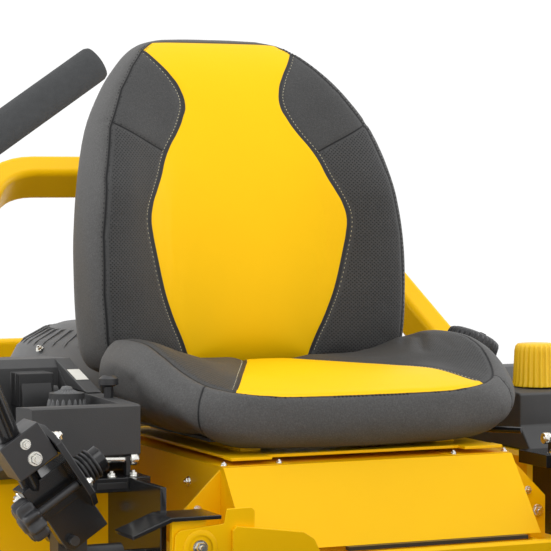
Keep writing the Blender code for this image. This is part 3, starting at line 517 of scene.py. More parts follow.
def upholstery(name, panel, top_fields, dots_from):
    """Vinyl: a yellow panel with a rolled edge, grained bolsters with a punched field, and plain sides.

    The mesh carries signed distances: "side" is above 0 past the boxing seam, and "cross" changes sign at a
    cross seam.
    """
    f = Finish(name, Specular_IOR_Level=0.13)
    centre, start = ORIGIN.x, ORIGIN.y if panel.axis == "Y" else 0
    across = abs(f.axis("X") - centre) - panel.shaded(f, start)
    side = f.node("ShaderNodeAttribute", "Fac", {"attribute_name": "side"})
    cross = f.node("ShaderNodeAttribute", "Fac", {"attribute_name": "cross"})
    face = side.under(0, 0.0004)
    inset = across.under(0, 0.0004) * face
    roll = across.over(0, 0.0004) * across.under(WELT, 0.0004) * face
    seam = abs(side).under(0.0015, 0.0008)
    joint = abs(cross).under(0.0012, 0.0007) * across.over(WELT) * top_fields(side, face)
    grain = f.node("ShaderNodeTexVoronoi", "Distance", {"feature": "SMOOTH_F1"}, Vector=f.where,
                   Scale=620) + 0.5 * f.noise(330, 4)
    fine = f.noise(1500, 2)
    flat = f.node("ShaderNodeMapping", Vector=f.where, Rotation=(0, math.radians(45), 0) if panel.axis == "Z"
                  else (0, 0, math.radians(45)), Scale=(270, 0, 270) if panel.axis == "Z" else (270, 270, 0))
    holes = f.node("ShaderNodeTexVoronoi", "Distance", {"feature": "F1"}, Vector=flat, Scale=1.0,
                   Randomness=0.0)
    punched = holes.under(0.26, 0.08) * dots_from(f,
                                                  cross) * face * across.over(THREAD
                                                                              + 0.004) * side.under(-0.006)
    cloud = f.noise(9, 5, 0.6)
    # This mottle in the vinyl's colour is partly real grain and partly painted sheen: its light speckles stand
    # in for highlights on the grain.
    grain_and_sheen_mottle = 0.45 * cloud + 0.55 * grain
    charcoal = f.spread((0.056, 0.056, 0.056), grain_and_sheen_mottle, 0.55)
    plain = f.spread((0.084, 0.083, 0.082), grain_and_sheen_mottle, 0.55)
    colour = f.mix(face, plain, charcoal)
    colour = f.mix(0.75 * punched, colour, (0.012, 0.012, 0.013))
    colour = f.mix(0.65 * roll, colour, (0.028, 0.028, 0.030))
    colour = f.mix(inset, colour, f.spread((0.970, 0.568, 0.001), cloud, 0.03))
    colour = f.mix(0.85 * (seam + joint).math("MINIMUM", seam + joint, 1.0), colour, (0.008, 0.008, 0.009))
    f.set(Base_Color=colour, Roughness=0.44 + 0.12 * cloud + 0.06 * fine - 0.06 * inset)
    height = (1 - 0.72 * inset - 0.4 * roll - 0.5 * face.under(0.5)) * 0.45 * grain + 0.12 * fine
    return f.bump(height - 0.9 * punched - 0.8 * seam - 0.8 * joint + 0.7 * roll, 0.50, 0.0009)


def whole(side, face): return face
def on_sides(side, face): return 1 - face


back_vinyl = upholstery("backrest_vinyl", BACK_PANEL, whole, lambda f, cross: cross.under(-0.004))
cushion_vinyl = upholstery("cushion_vinyl", CUSHION_PANEL, on_sides,
                           lambda f, cross: (abs(f.axis("X") - ORIGIN.x)).over(0.165, 0.01))


def skin(rings, low_cap, high_cap):
    """A closed skin over rings of equal count, ending in a point at each end."""
    bm = bmesh.new()
    loops = banded(bm, rings)
    for cap, loop in ((low_cap, loops[0]), (high_cap, loops[-1])):
        tip = bm.verts.new(cap)
        for i in range(len(loop)):
            bm.faces.new((tip, loop[i], loop[(i + 1) % len(loop)]))
    bmesh.ops.recalc_face_normals(bm, faces=bm.faces)
    bmesh.ops.translate(bm, verts=bm.verts, vec=ORIGIN)
    return meshed("cover", bm)


def traced(mesh, points, direction):
    """The points thrown onto a mesh along a direction, each with the surface's normal there."""
    tree = BVHTree.FromPolygons([v.co for v in mesh.vertices], [tuple(p.vertices) for p in mesh.polygons])
    found = []
    for point in points:
        ray = Vector(direction(point) if callable(direction) else direction).normalized()
        hit, normal, _, _ = tree.ray_cast(Vector(point) + ORIGIN - ray * 0.6, ray)
        if hit is not None:
            found.append((hit, normal))
    return found


def near(lines):
    """A lookup of how far a place is from the nearest of several traced seams."""
    places = [hit for line in lines for hit, _ in line]
    tree = KDTree(len(places))
    for i, place in enumerate(places):
        tree.insert(place, i)
    tree.balance()
    return tree


def sewn(name, mesh, seams, voxel=0.006, pressure=4.0, reach=0.007, groove=0.0020):
    """Inflates a cover between its seams, then draws the seams in."""
    obj = as_object(name, mesh)
    add(obj, "REMESH", mode="VOXEL", voxel_size=voxel)
    obj = as_object(name, settled(obj))
    rest = [v.co.copy() for v in obj.data.vertices]
    held = near([traced(obj.data, points, direction) for points, direction in seams])
    group = obj.vertex_groups.new(name="held")
    group.add([v.index for v in obj.data.vertices if held.find(v.co)[2] < voxel], 1.0, "REPLACE")
    cloth = obj.modifiers.new("cloth", "CLOTH")
    cloth.settings.use_pressure, cloth.settings.uniform_pressure_force = True, pressure
    cloth.settings.vertex_group_mass, cloth.settings.effector_weights.gravity = group.name, 0.0
    cloth.settings.tension_stiffness = cloth.settings.compression_stiffness = 30
    cloth.point_cache.frame_start, cloth.point_cache.frame_end = 1, 20
    for frame_number in range(1, 21):
        bpy.context.scene.frame_set(frame_number)
    blown = obj.evaluated_get(bpy.context.evaluated_depsgraph_get()).data
    moved = [v.co.copy() for v in blown.vertices]
    obj.modifiers.clear()
    bpy.context.scene.frame_set(1)
    for vertex, start, end in zip(obj.data.vertices, rest, moved):
        step = end - start
        vertex.co = start + step * min(1.0, reach / max(step.length, 1e-9))
    add(obj, "SMOOTH", factor=0.5, iterations=4)
    add(obj, "SUBSURF", levels=1, render_levels=1)
    mesh = settled(obj)
    mesh.name = name
    lines = [traced(mesh, points, direction) for points, direction in seams]
    pulled = near(lines)
    normals = [v.normal.copy() for v in mesh.vertices]
    for vertex, normal in zip(mesh.vertices, normals):
        away = pulled.find(vertex.co)[2]
        if away < 0.012:
            vertex.co = vertex.co - normal * (groove * math.exp(-(away / 0.0042) ** 2))
    mesh.shade_smooth()
    return mesh


def field(mesh, name, measure):
    values = mesh.attributes.new(name, "FLOAT", "POINT").data
    for vertex, value in zip(mesh.vertices, values):
        value.value = measure(vertex.co - ORIGIN)


def stitched(work, line, aside, pitch=0.0046, length=0.0032, thick=0.00045, lift=0.0001):
    """Short beads of thread along a traced line."""
    run = 0.0
    for (a, normal), (b, _) in zip(line, line[1:]):
        step = (b - a).length
        if step > 0.02:
            continue
        run += step
        if run < pitch:
            continue
        run = 0.0
        along = (b - a).normalized()
        over = along.cross(normal).normalized()
        turn = Matrix((along, over, normal)).transposed().to_4x4()
        place = Matrix.Translation(a - ORIGIN + over * aside + normal * lift) @ turn @ Matrix.Diagonal(
            (length / 2, thick, thick, 1))
        bmesh.ops.create_icosphere(work.bm, subdivisions=1, radius=1.0, matrix=place)


# ---------------------------------------------------------------- backrest
BACK_LOW, BACK_Y, BACK_CURVE, BACK_DEEP = 0.600, 0.160, 1.18, 0.090
BACK_LEVELS = [(0.584, 0.180, 0.50), (0.589, 0.200, 0.76), (0.602, 0.213, 0.93), (0.635, 0.221, 1),
               (0.700, 0.225, 1), (0.780, 0.224, 1), (0.860, 0.214, 1), (0.930, 0.196, 1), (0.985, 0.167, 1),
               (1.020, 0.140, 0.97), (1.043, 0.117, 0.84), (1.056, 0.096, 0.62),
               (1.0625, 0.070, 0.36)]   # height, half width, fullness
SECTION = [(0.0, 0.0), (0.30, -0.001), (0.52, -0.006), (0.70, -0.020), (0.84, -0.036), (0.95, -0.042),
           (1.02, -0.036), (1.07, -0.018), (1.09, 0.018), (1.085, 0.052), (1.02, 0.075), (0.84, 0.086),
           (0.50, 0.089), (0.0, BACK_DEEP)]


def back_front(z):
    return BACK_Y + BACK_CURVE * max(0.0, z - BACK_LOW) ** 3


def back_half(z):
    for (a, wa, _), (b, wb, _) in zip(BACK_LEVELS, BACK_LEVELS[1:]):
        if z <= b:
            return wa + (wb - wa) * max(0.0, z - a) / (b - a)
    return BACK_LEVELS[-1][1]


def back_rings():
    levels = rounded([Vector(level) for level in BACK_LEVELS], 5)
    rings = []
    for z, half, grow in levels:
        wing = max(0.0, min(1.0, (1.045 - z) / 0.20))
        half_ring = [Vector((w * half, back_front(z) + BACK_DEEP / 2 + ((d * wing if d < 0
                                                                         else d) - BACK_DEEP / 2) * grow, z))
                     for w, d in SECTION]
        ring = half_ring + [Vector((-p.x, p.y, p.z)) for p in reversed(half_ring[1:-1])]
        rings.append(rounded(ring, 4, closed=True))
    return rings


def back_seams():
    heights = [0.612 + 0.0022 * i for i in range(int((1.056 - 0.612) / 0.0022))]
    ahead, lines = Vector((0, 1, 0)), []
    for s in (-1, 1):
        lines.append(([(s * (BACK_PANEL.width(z) + WELT), 0.2, z) for z in heights], ahead))
        lines.append(([(s * 1.02 * back_half(z), 0.2, z) for z in heights], ahead))
        lines.append(([(s * (0.118 + 0.085 * t), 0.2, 0.897 + 0.045 * t)
                       for t in [i / 44 for i in range(45)]], ahead))
        lines.append(([(s * 0.18, back_front(z) + 0.066, z) for z in heights[:-12]], Vector((-s, 0, 0))))
    return lines


def back_side(p):
    """How far past the crest seam a point of the backrest is."""
    ahead = p.y - back_front(p.z)
    return max(abs(p.x) - 1.02 * back_half(p.z), ahead - 0.020, p.z - 1.070)


rings = back_rings()
seams = back_seams()
back_mesh = sewn("backrest_cover", skin(rings, sum(rings[0], Vector()) / len(rings[0]),
                                        sum(rings[-1], Vector()) / len(rings[-1])),
                 seams)
field(back_mesh, "side", back_side)
field(back_mesh, "cross", lambda p: p.z - (0.897 + 0.53 * (abs(p.x) - 0.118)))
backrest = finished(as_object("backrest_cover", back_mesh), back_vinyl, "seat", ("seat_back",))

pale, dark = Work(), Work()
for index, (points, direction) in enumerate(seams):
    s, kind = (-1 if index < 4 else 1), index % 4
    line = traced(back_mesh, points, direction)
    if kind == 0:
        beyond = [(x + s * (THREAD - WELT), y, z) for x, y, z in points]
        stitched(pale, traced(back_mesh, beyond, direction), 0.0)
    elif kind == 1:
        for aside in (-0.0030, 0.0030):
            stitched(dark, line, aside, length=0.0036, thick=0.0007)
    elif kind == 2:
        stitched(dark, line, 0.0028)
pale.piece("backrest_pale_stitches", pale_thread, "seat", slot="mat_seat_back")
dark.piece("backrest_dark_stitches", dark_thread, "seat", slot="mat_seat_back")


# ---------------------------------------------------------------- cushion
SEAM = [(0.000, -0.2310, 0.5875), (0.070, -0.2305, 0.5880), (0.130, -0.2270, 0.5900),
        (0.172, -0.2130, 0.5930), (0.203, -0.1860, 0.5990), (0.221, -0.1480, 0.6130),
        (0.232, -0.1020, 0.6320), (0.235, -0.0500, 0.6450), (0.236, 0.0150, 0.6480), (0.233, 0.0650, 0.6440),
        (0.220, 0.0980, 0.6360), (0.180, 0.1080, 0.6240), (0.110, 0.1100, 0.6080), (0.000, 0.1100, 0.6020)]
CUSHION_FLOOR, CUSHION_LIP = 0.5345, 0.5165


def seam_loop():
    half = [Vector(p) for p in SEAM]
    return rounded(half + [Vector((-p.x, p.y, p.z)) for p in reversed(half[1:-1])], 5, closed=True)


LOOP = seam_loop()
HEART = Vector((0, -0.055))
TURNS = sorted((math.atan2(p.y - HEART.y, p.x - HEART.x), math.hypot(p.x - HEART.x, p.y - HEART.y), p.z)
               for p in LOOP)
TURNS = [(t - 2 * math.pi, r, z) for t, r, z in TURNS[-1:]] + TURNS + [(t + 2 * math.pi, r, z) for t, r,
                                                                       z in TURNS[:1]]


def loop_at(x, y):
    """The seam's height, as seen from the cushion's heart towards a point, and how far past it the point is."""
    turn = math.atan2(y - HEART.y, x - HEART.x)
    i = bisect.bisect_left(TURNS, (turn, 0, 0), 1, len(TURNS) - 1)
    (a, ra, za), (b, rb, zb) = TURNS[i - 1], TURNS[i]
    share = (turn - a) / (b - a)
    return za + (zb - za) * share, math.hypot(x - HEART.x, y - HEART.y) - (ra + (rb - ra) * share)


def cushion_top(x, y, edge):
    """The dished top: its middle runs level to the rear, and it climbs onto the bolsters at the sides."""
    floor = 0.5875 + 0.0200 * smoothstep(-0.235, -0.130, y)
    climb = smoothstep(0.115, 0.240, abs(x))
    return floor + max(0.0, edge - floor) * climb


def cushion_rings():
    rings = []
    for share in (0.03, 0.14, 0.27, 0.40, 0.52, 0.63, 0.73, 0.82, 0.90, 0.96):
        ring = []
        for p in LOOP:
            x, y = HEART.x + (p.x - HEART.x) * share, HEART.y + (p.y - HEART.y) * share
            ring.append(Vector((x, y, cushion_top(x, y, p.z))))
        rings.append(ring)
    rings.append([p.copy() for p in LOOP])
    for out, down, tuck in ((0.45, 0.07, 0), (0.85, 0.25, 0), (1.0, 0.48, 0), (0.85, 0.70, 0),
                            (0.45, 0.88, 0.25), (0, 0.97, 0.6), (0, 1.0, 1.0)):
        ring = []
        for i, p in enumerate(LOOP):
            ahead, behind = LOOP[(i + 1) % len(LOOP)], LOOP[i - 1]
            outward = Vector((ahead.y - behind.y, behind.x - ahead.x)).normalized()
            aside = smoothstep(0.13, 0.235, abs(p.x))
            bulge = (0.007 + 0.028 * aside) * (1 - 0.85 * smoothstep(0.055, 0.100, p.y))
            lip = CUSHION_LIP + (CUSHION_FLOOR - CUSHION_LIP) * smoothstep(-0.215, -0.150, p.y)
            inward = 0.026 - 0.004 * aside
            z = p.z + (lip - p.z) * down
            place = Vector((p.x, p.y)) + outward * (bulge * out - inward * tuck)
            ring.append(Vector((place.x, max(place.y, -0.2375), z)))
        rings.append(ring)
    for share in (0.90, 0.70, 0.40, 0.10):
        rings.append([Vector((HEART.x + (p.x - HEART.x) * share * 0.90,
                              HEART.y + (p.y - HEART.y) * share * 0.90, CUSHION_FLOOR))
                      for p in LOOP])
    return rings


def cushion_seams():
    down, lines = Vector((0, 0, -1)), []
    lines.append(([(p.x, p.y, p.z) for p in rounded(LOOP, 5, closed=True) if p.y < 0.095], inward))
    reach = [-0.196 + 0.0024 * i for i in range(126)]
    for s in (-1, 1):
        lines.append(([(s * (CUSHION_PANEL.width(y) + WELT), y, 0.6) for y in reach], down))
    for s in (-1, 1):
        lines.append(([(s * 0.207, -0.183, 0.527 + 0.0024 * i) for i in range(28)],
                      Vector((-s * 0.7, 0.7, 0))))
    return lines


def inward(p):
    """Down and towards the cushion's heart."""
    return (HEART - Vector(p[:2])).normalized().to_3d() + Vector((0, 0, -1.1))


def cushion_side(p):
    edge, out = loop_at(p.x, p.y)
    return max(out, cushion_top(p.x, p.y, edge) - p.z - 0.014)


rings = cushion_rings()
seams = cushion_seams()
cushion_mesh = sewn("cushion_cover", skin(rings, Vector((HEART.x, HEART.y,
                                                         cushion_top(0, HEART.y, SEAM[0][2]))),
                                         Vector((HEART.x, HEART.y, CUSHION_FLOOR))), seams, reach=0.005)
field(cushion_mesh, "side", cushion_side)
field(cushion_mesh, "cross", lambda p: (abs(p.x) - 0.207 + p.y + 0.183) / math.sqrt(2) if p.y < -0.08
      else 1.0)
cushion = finished(as_object("cushion_cover", cushion_mesh), cushion_vinyl, "seat", ("seat_cushion",))
pale, dark = Work(), Work()
for index, (points, direction) in enumerate(seams):
    line = traced(cushion_mesh, points, direction)
    if index == 0:
        for aside in (0.0032, 0.0050):
            stitched(dark, line, aside, length=0.0036, thick=0.0007)
    elif index < 3:
        s = -1 if index == 1 else 1
        stitched(pale, traced(cushion_mesh, [(x + s * (THREAD - WELT), y, z) for x, y, z in points],
                              direction), 0.0)
    else:
        stitched(dark, line, 0.0025)
pale.piece("cushion_pale_stitches", pale_thread, "seat", slot="mat_seat_cushion")
dark.piece("cushion_dark_stitches", dark_thread, "seat", slot="mat_seat_cushion")


# ---------------------------------------------------------------- frame and sheet metal
for label, s in SIDES:
    eased(f"frame_rail_{label}", yellow_paint, "chassis", 0.0025)
    eased(f"transaxle_{label}", cast, "chassis", 0.004, 3)
    eased(f"lever_base_{label}", gloss_black, "chassis", 0.0012)
    eased(f"caster_fork_{label}", yellow_paint, f"caster_{label}", 0.0015)
    eased(f"control_arm_{label}", satin_black, f"drive_arm_{label}", 0.0015)
    eased(f"belt_cover_{label}", console_plastic, "deck", 0.0015)
    eased(f"fender_{label}", console_plastic, "chassis", 0.006, 3)
for label in ("right", "centre", "left"):
    eased(f"blade_{label}", blade_steel, f"blade_{label}", 0.0008, 1)
for node, finish, body, bevel in (
        ("front_axle_beam", yellow_paint, "chassis", 0.003), ("rear_guard_rail", yellow_paint, "chassis",
                                                              0.004),
        ("rear_hoop", yellow_paint, "chassis", 0.005), ("engine_plate", satin_black, "chassis", 0.001),
        ("floor_pan", satin_black, "chassis", 0.001), ("seat_box", yellow_paint, "chassis", 0.0014),
        ("engine_crankcase", cast, "chassis", 0.003), ("air_cleaner", smooth_plastic, "chassis", 0.002),
        ("muffler", satin_black, "chassis", 0.002), ("oil_filter", gloss_black, "chassis", 0.003),
        ("engine_clutch", zinc, "clutch", 0.001), ("deck_shell", yellow_paint, "deck", 0.0016),
        ("discharge_chute", console_plastic, "chute", 0.001),
        ("deck_lift_pedal", satin_black, "lift_pedal", 0.001),
        ("throttle_lever", smooth_plastic, "throttle", 0.0015),
        ("ignition_key", smooth_plastic, "key", 0.001),
        ("seat_hinge_plate", yellow_paint, "seat_tilt", 0.0008), ("seat_pan", satin_black, "seat", 0.0008),
        ("seat_slide_lever", gloss_black, "seat_release", 0.0005)):
    eased(node, finish, body, bevel)
kept("deck_belt", belt_rubber)
kept("drive_belt", belt_rubber)

# Seat box: folded hinge tabs, a black box as painted shade in the slot above the front sill, the apron plates,
# and the screws.
tabs, screws = Work(), Work()
for s in (-1, 1):
    tabs.prism([(s * 0.118, -0.2345), (s * 0.196, -0.2345), (s * 0.206, -0.226), (s * 0.206, -0.190),
                (s * 0.112, -0.190), (s * 0.112, -0.228)], "z", 0.5003, 0.5012)
    for x in (0.1245, 0.1995):
        screws.bolt((s * x, -0.2240, 0.5014), (0, 0, 1), 0.0040)
    screws.bolt((s * 0.2505, -0.2253, 0.4200), (0, -1, 0), 0.0075)
    screws.bolt((s * 0.2355, -0.2253, 0.4480), (0, -1, 0), 0.0050)
    screws.bolt((s * 0.2100, -0.3473, 0.3900), (0, -1, 0), 0.0070)
    for y in (-0.120, 0.120):
        screws.bolt((s * 0.2053, y, 0.470), (s, 0, 0), 0.0060)
tabs.piece("seat_hinge_tabs", yellow_paint, "chassis", 0.0008, slot="mat_seat_box")
screws.piece("seat_box_screws", zinc, "chassis", slot="mat_seat_box")
aprons = Work()
for s in (-1, 1):
    aprons.prism([(s * 0.212, 0.3875), (s * 0.212, 0.462), (s * 0.216, 0.466), (s * 0.248, 0.4655),
                  (s * 0.252, 0.4480), (s * 0.308, 0.4430), (s * 0.314, 0.4380), (s * 0.318, 0.3875)], "y",
                 -0.3495, -0.3465)
    aprons.turned([(0.0150, 0.0012), (0.0200, 0.0012), (0.0225, 0), (0.0150, 0)],
                  (s * 0.2825, -0.3495, 0.421), (0, -1, 0), 32)
aprons.prism([(-0.243, 0.3875), (-0.243, 0.4400), (-0.238, 0.4450), (-0.150, 0.4330), (-0.136, 0.4240),
              (-0.128, 0.4080), (-0.128, 0.3875)], "y", -0.3560, -0.3500)
aprons.piece("seat_box_aprons", yellow_paint, "chassis", 0.0010, slot="mat_seat_box")
# A thin black box fills the slot above the front sill: painted shade, standing for the shadow in that gap.
Work().box((-0.075, -0.326, 0.4008), (0.178, -0.3155, 0.4055)).piece("seat_box_slot_painted_shade", satin_black,
                                                                     "chassis",
                                                                    slot="mat_seat_box")

# Frame: bolts through the rails and aprons, and plugs in the tube ends.
bolts, plugs = Work(), Work()
for s in (-1, 1):
    for y in (-0.700, -0.560, 0.620, 0.790):
        bolts.bolt((s * 0.2813, y, 0.352), (s, 0, 0), 0.0085)
    for x, z in ((0.345, 0.440), (0.520, 0.440), (0.345, 0.375), (0.520, 0.375)):
        bolts.bolt((s * x, -0.1003, z), (0, -1, 0), 0.0065)
    bolts.bolt((s * 0.2825, -0.3497, 0.421), (0, -1, 0), 0.0085)
    plugs.box((s * 0.2445, 0.9000, 0.3060), (s * 0.2795, 0.9025, 0.3740))
    for x in (0.130, 0.215):
        bolts.bolt((s * x, 0.800, 0.3845), (0, 0, 1), 0.0085)
bolts.piece("frame_bolts", zinc, "chassis", slot="mat_frame_rail_right")
plugs.piece("frame_end_plugs", smooth_plastic, "chassis", 0.001, slot="mat_frame_rail_right")

# Foot platform: a ribbed rubber mat, and grip studs up the toe board.
PAN_TOP = 0.3833
mat = Work().box((-0.135, -0.722, PAN_TOP + 0.0002), (0.262, -0.372, PAN_TOP + 0.0026))
for i in range(34):
    y = -0.714 + 0.010 * i
    mat.prism([(y - 0.0030, PAN_TOP + 0.0024), (y + 0.0030, PAN_TOP + 0.0024), (y + 0.0016, PAN_TOP + 0.0052),
               (y - 0.0016, PAN_TOP + 0.0052)], "x", -0.127, 0.254)
mat.piece("foot_mat", mat_rubber, "chassis", 0.0006, 1, slot="mat_floor_pan")
studs, uphill = Work(), Vector((0, -0.135, 0.075)).normalized()
slope = Vector((1, 0, 0)).cross(-uphill)
slope = slope if slope.z > 0 else -slope
for row in range(3):
    for column in range(13):
        x = -0.252 + 0.042 * column + (0.021 if row % 2 else 0)
        if x < 0.27:
            base = Vector((x, -0.733, PAN_TOP)) + uphill * (0.035 + 0.042 * row)
            studs.turned([(0, 0.0022), (0.0050, 0.0022), (0.0085, 0), (0, 0)], base, slope, 14)
studs.piece("toe_board_studs", satin_black, "chassis", slot="mat_floor_pan")

# ---------------------------------------------------------------- lap bars
for label, s in SIDES:
    body = f"lap_bar_{label}"
    bar = Work(swing(s))
    path = bent([(s * 0.424, -0.262, 0.470), (s * 0.418, -0.284, 0.560), (s * 0.380, -0.400, 0.897),
                 (s * 0.132, -0.400, 0.900)],
                0.055)
    bar.tube(path, 0.0135, 20)
    outer, inner = sorted((s * 0.372, s * 0.3805))
    bar.prism([(-0.318, 0.470), (-0.300, 0.452), (-0.225, 0.452), (-0.200, 0.480), (-0.205, 0.545),
               (-0.225, 0.566), (-0.290, 0.566), (-0.318, 0.545)], "x", outer, inner)
    for low, high in ((-0.283, -0.264), (-0.226, -0.207)):
        bar.prism([(s * 0.3735, 0.418), (s * 0.426, 0.418), (s * 0.432, 0.424), (s * 0.432, 0.467),
                   (s * 0.426, 0.473), (s * 0.3735, 0.473)], "y", low, high)
    bar.box((s * 0.3800, -0.284, 0.467), (s * 0.4390, -0.246, 0.514))
    bar.rod((s * 0.330, -0.262, 0.484), (s * 0.373, -0.262, 0.484), 0.0165, 28)
    bar.piece(f"lap_bar_tube_{label}", gloss_black, body, 0.0014, replaces=(f"lap_bar_{label}",))
    cap = Work(swing(s)).box((s * 0.3812, -0.309, 0.532), (s * 0.4370, -0.257, 0.579))
    for step in range(5):
        cap.turned([(0.0165, 0.0022), (0.0200, 0.0016), (0.0200, -0.0016), (0.0165, -0.0022)],
                   (s * (0.366 - 0.0055 * step), -0.262, 0.484), (s, 0, 0), 28)
    cap.piece(f"lap_bar_socket_{label}", smooth_plastic, body, 0.004, 3, slot=f"mat_lap_bar_{label}")
    nuts = Work(swing(s))
    for y, z in ((-0.2625, 0.480), (-0.257, 0.502)):
        nuts.bolt((s * 0.4393, y, z), (s, 0, 0), 0.0075)
    for y, z in ((-0.300, 0.548), (-0.222, 0.540), (-0.300, 0.480), (-0.222, 0.482)):
        nuts.bolt((s * 0.3718, y, z), (-s, 0, 0), 0.0075)
    nuts.bolt((s * 0.408, -0.3093, 0.545), (0, -1, 0), 0.0080)
    nuts.bolt((s * 0.408, -0.3093, 0.566), (0, -1, 0), 0.0060)
    nuts.piece(f"lap_bar_nuts_{label}", zinc, body, slot=f"mat_lap_bar_{label}")
    sleeve = Work(swing(s)).turned(
        [(0, 0.209), (0.0150, 0.209), (0.0190, 0.2075), (0.0208, 0.2035), (0.0210, 0.197), (0.0210, 0.010),
         (0.0204, 0.004), (0.0180, 0.001), (0.0138, 0.0)], (s * 0.322, -0.400, 0.8977), (-s, 0, 0.0125), 40)
    sleeve.piece(f"lap_bar_grip_{label}", grip_foam, body, replaces=(f"lap_grip_{label}",))
    knob = Work(swing(s))
    lobes, levels = 9, ((0.441, 0.80), (0.443, 0.95), (0.447, 1.0), (0.457, 1.0), (0.461, 0.95),
                        (0.463, 0.78))
    knob.loft([[Vector((s * x, -0.302 + r * math.cos(a), 0.487 + r * math.sin(a)))
                for a, r in ((2 * math.pi * i / 72, grow * (0.0243 + 0.0036
                                                            * math.cos(lobes * 2 * math.pi * i / 72)))
                             for i in range(72))] for x, grow in levels])
    knob.rod((s * 0.3812, -0.302, 0.487), (s * 0.4412, -0.302, 0.487), 0.0050, 14)
    knob.turned([(0, 0.0030), (0.0090, 0.0026), (0.0120, 0), (0, 0)], (s * 0.4628, -0.302, 0.487), (s, 0, 0),
                24)
    knob.piece(f"reach_knob_{label}", smooth_plastic, f"reach_knob_{label}",
               replaces=(f"lever_knob_{label}",), angle=55)
    # On the tray behind the bar lies the damper rod, held by a clip at each end.
    rod = Work().rod((s * 0.292, -0.166, 0.5075), (s * 0.3795, -0.166, 0.5105), 0.0042, 16)
    for x in (0.298, 0.372):
        rod.turned([(0, 0.0050), (0.0072, 0.0050), (0.0078, 0.0040), (0.0078, -0.0040), (0.0072, -0.0050),
                    (0, -0.0050)],
                   (s * x, -0.166, 0.5082), (s, 0, 0), 20)
    for x in (0.302, 0.331):
        rod.bolt((s * x, -0.176, 0.4888), (0, 0, 1), 0.0060)
    rod.piece(f"damper_rod_{label}", zinc, "chassis", slot=f"mat_lever_base_{label}")
    posts = Work()
    for x in (0.307, 0.362):
        posts.box((s * (x - 0.003), -0.172, 0.4887), (s * (x + 0.003), -0.160, 0.5130))
    posts.box((s * 0.316, -0.1902, 0.4750), (s * 0.356, -0.1912, 0.4830))
    posts.piece(f"damper_posts_{label}", satin_black, "chassis", 0.0008, slot=f"mat_lever_base_{label}")

# ---------------------------------------------------------------- consoles and controls
def fluted(work, levels, centre, along, ribs, depth, count):
    """A round cap with upright ribs; levels are (height, radius)."""
    turn = aimed(centre, along)
    return work.loft([[turn @ Vector((r * math.cos(a), r * math.sin(a), h)) for a, r in (
        (2 * math.pi * i / count, radius - depth * (0.5 - 0.5 * math.cos(ribs * 2 * math.pi * i / count)))
        for i in range(count))] for h, radius in levels])


DIAL = (0.377, -0.005, 0.5645)
dial = fluted(Work(), ((0, 0.0362), (0.003, 0.0362), (0.007, 0.0345), (0.050, 0.0325), (0.0565, 0.0312),
                       (0.0600, 0.0280)),
              DIAL, (0, 0, 1), 26, 0.0026, 208)
dial.turned([(0, 0.0003), (0.0240, 0.0003), (0.0255, -0.0012), (0, -0.0012)],
            Vector(DIAL) + Vector((0, 0, 0.060)), (0, 0, 1), 40)
dial.piece("cutting_height_dial", yellow_plastic, "dial", replaces=("height_dial",), angle=60)

CAP_SEAT, CAP_AXIS = Vector((0.345, 0.140, 0.605)), Vector((math.sin(math.radians(24)), 0,
                                                            math.cos(math.radians(24))))
cap = fluted(Work(), ((0, 0.0395), (0.0015, 0.0408), (0.0200, 0.0396), (0.0240, 0.0382), (0.0262, 0.0350)),
             CAP_SEAT, CAP_AXIS, 30, 0.0018, 240)
cap.turned([(0, 0.0300), (0.0200, 0.0296), (0.0300, 0.0280), (0.0345, 0.0258), (0, 0.0258)], CAP_SEAT,
           CAP_AXIS, 48)
cap.box((-0.024, -0.0045, 0.0270), (0.024, 0.0045, 0.0300), aimed(CAP_SEAT, CAP_AXIS))
cap.piece("fuel_filler_cap", smooth_plastic, "filler_cap", replaces=("fuel_cap",), angle=55)

PTO = Vector((-0.515, 0.020, 0.581))
pull = Work().turned([(0, 0.0320), (0.0120, 0.0318), (0.0160, 0.0300), (0.0190, 0.0268), (0.0192, 0.0190),
                      (0.0178, 0.0160), (0.0100, 0.0130), (0.0080, 0.0100), (0.0080, 0.0003), (0, 0.0003)],
                     PTO, (0, 0, 1), 40)
pull.piece("blade_switch_knob", yellow_plastic, "blade_switch", replaces=("pto_knob",), angle=45)

trim, marks = Work(), Work()
trim.turned([(0.0100, 0.0030), (0.0240, 0.0030), (0.0260, 0), (0.0100, 0)], PTO - Vector((0, 0, 0.0035)),
            (0, 0, 1), 36)
trim.turned([(0.0090, 0.0035), (0.0150, 0.0035), (0.0175, 0), (0.0090, 0)], (0.475, 0.0, 0.5655), (0, 0, 1),
            32)
trim.box((0.503, -0.040, 0.5655), (0.527, 0.048, 0.5658))
trim.box((0.455, 0.030, 0.5655), (0.495, 0.052, 0.5690))
for i in range(9):
    a = math.radians(-150 + 27 * i)
    marks.box((-0.0005, 0.0400, 0), (0.0005, 0.0460, 0.0004),
              Matrix.Translation((DIAL[0], DIAL[1], 0.5651)) @ Matrix.Rotation(a, 4, "Z"))
for i in range(5):
    marks.box((0.4985, -0.030 + 0.016 * i, 0.5655), (0.5020, -0.0285 + 0.016 * i, 0.5661))
trim.piece("console_trim", smooth_plastic, "chassis", 0.0008, slot="mat_fender_left")
marks.piece("console_marks", pale_sticker, "chassis", slot="mat_fender_left")

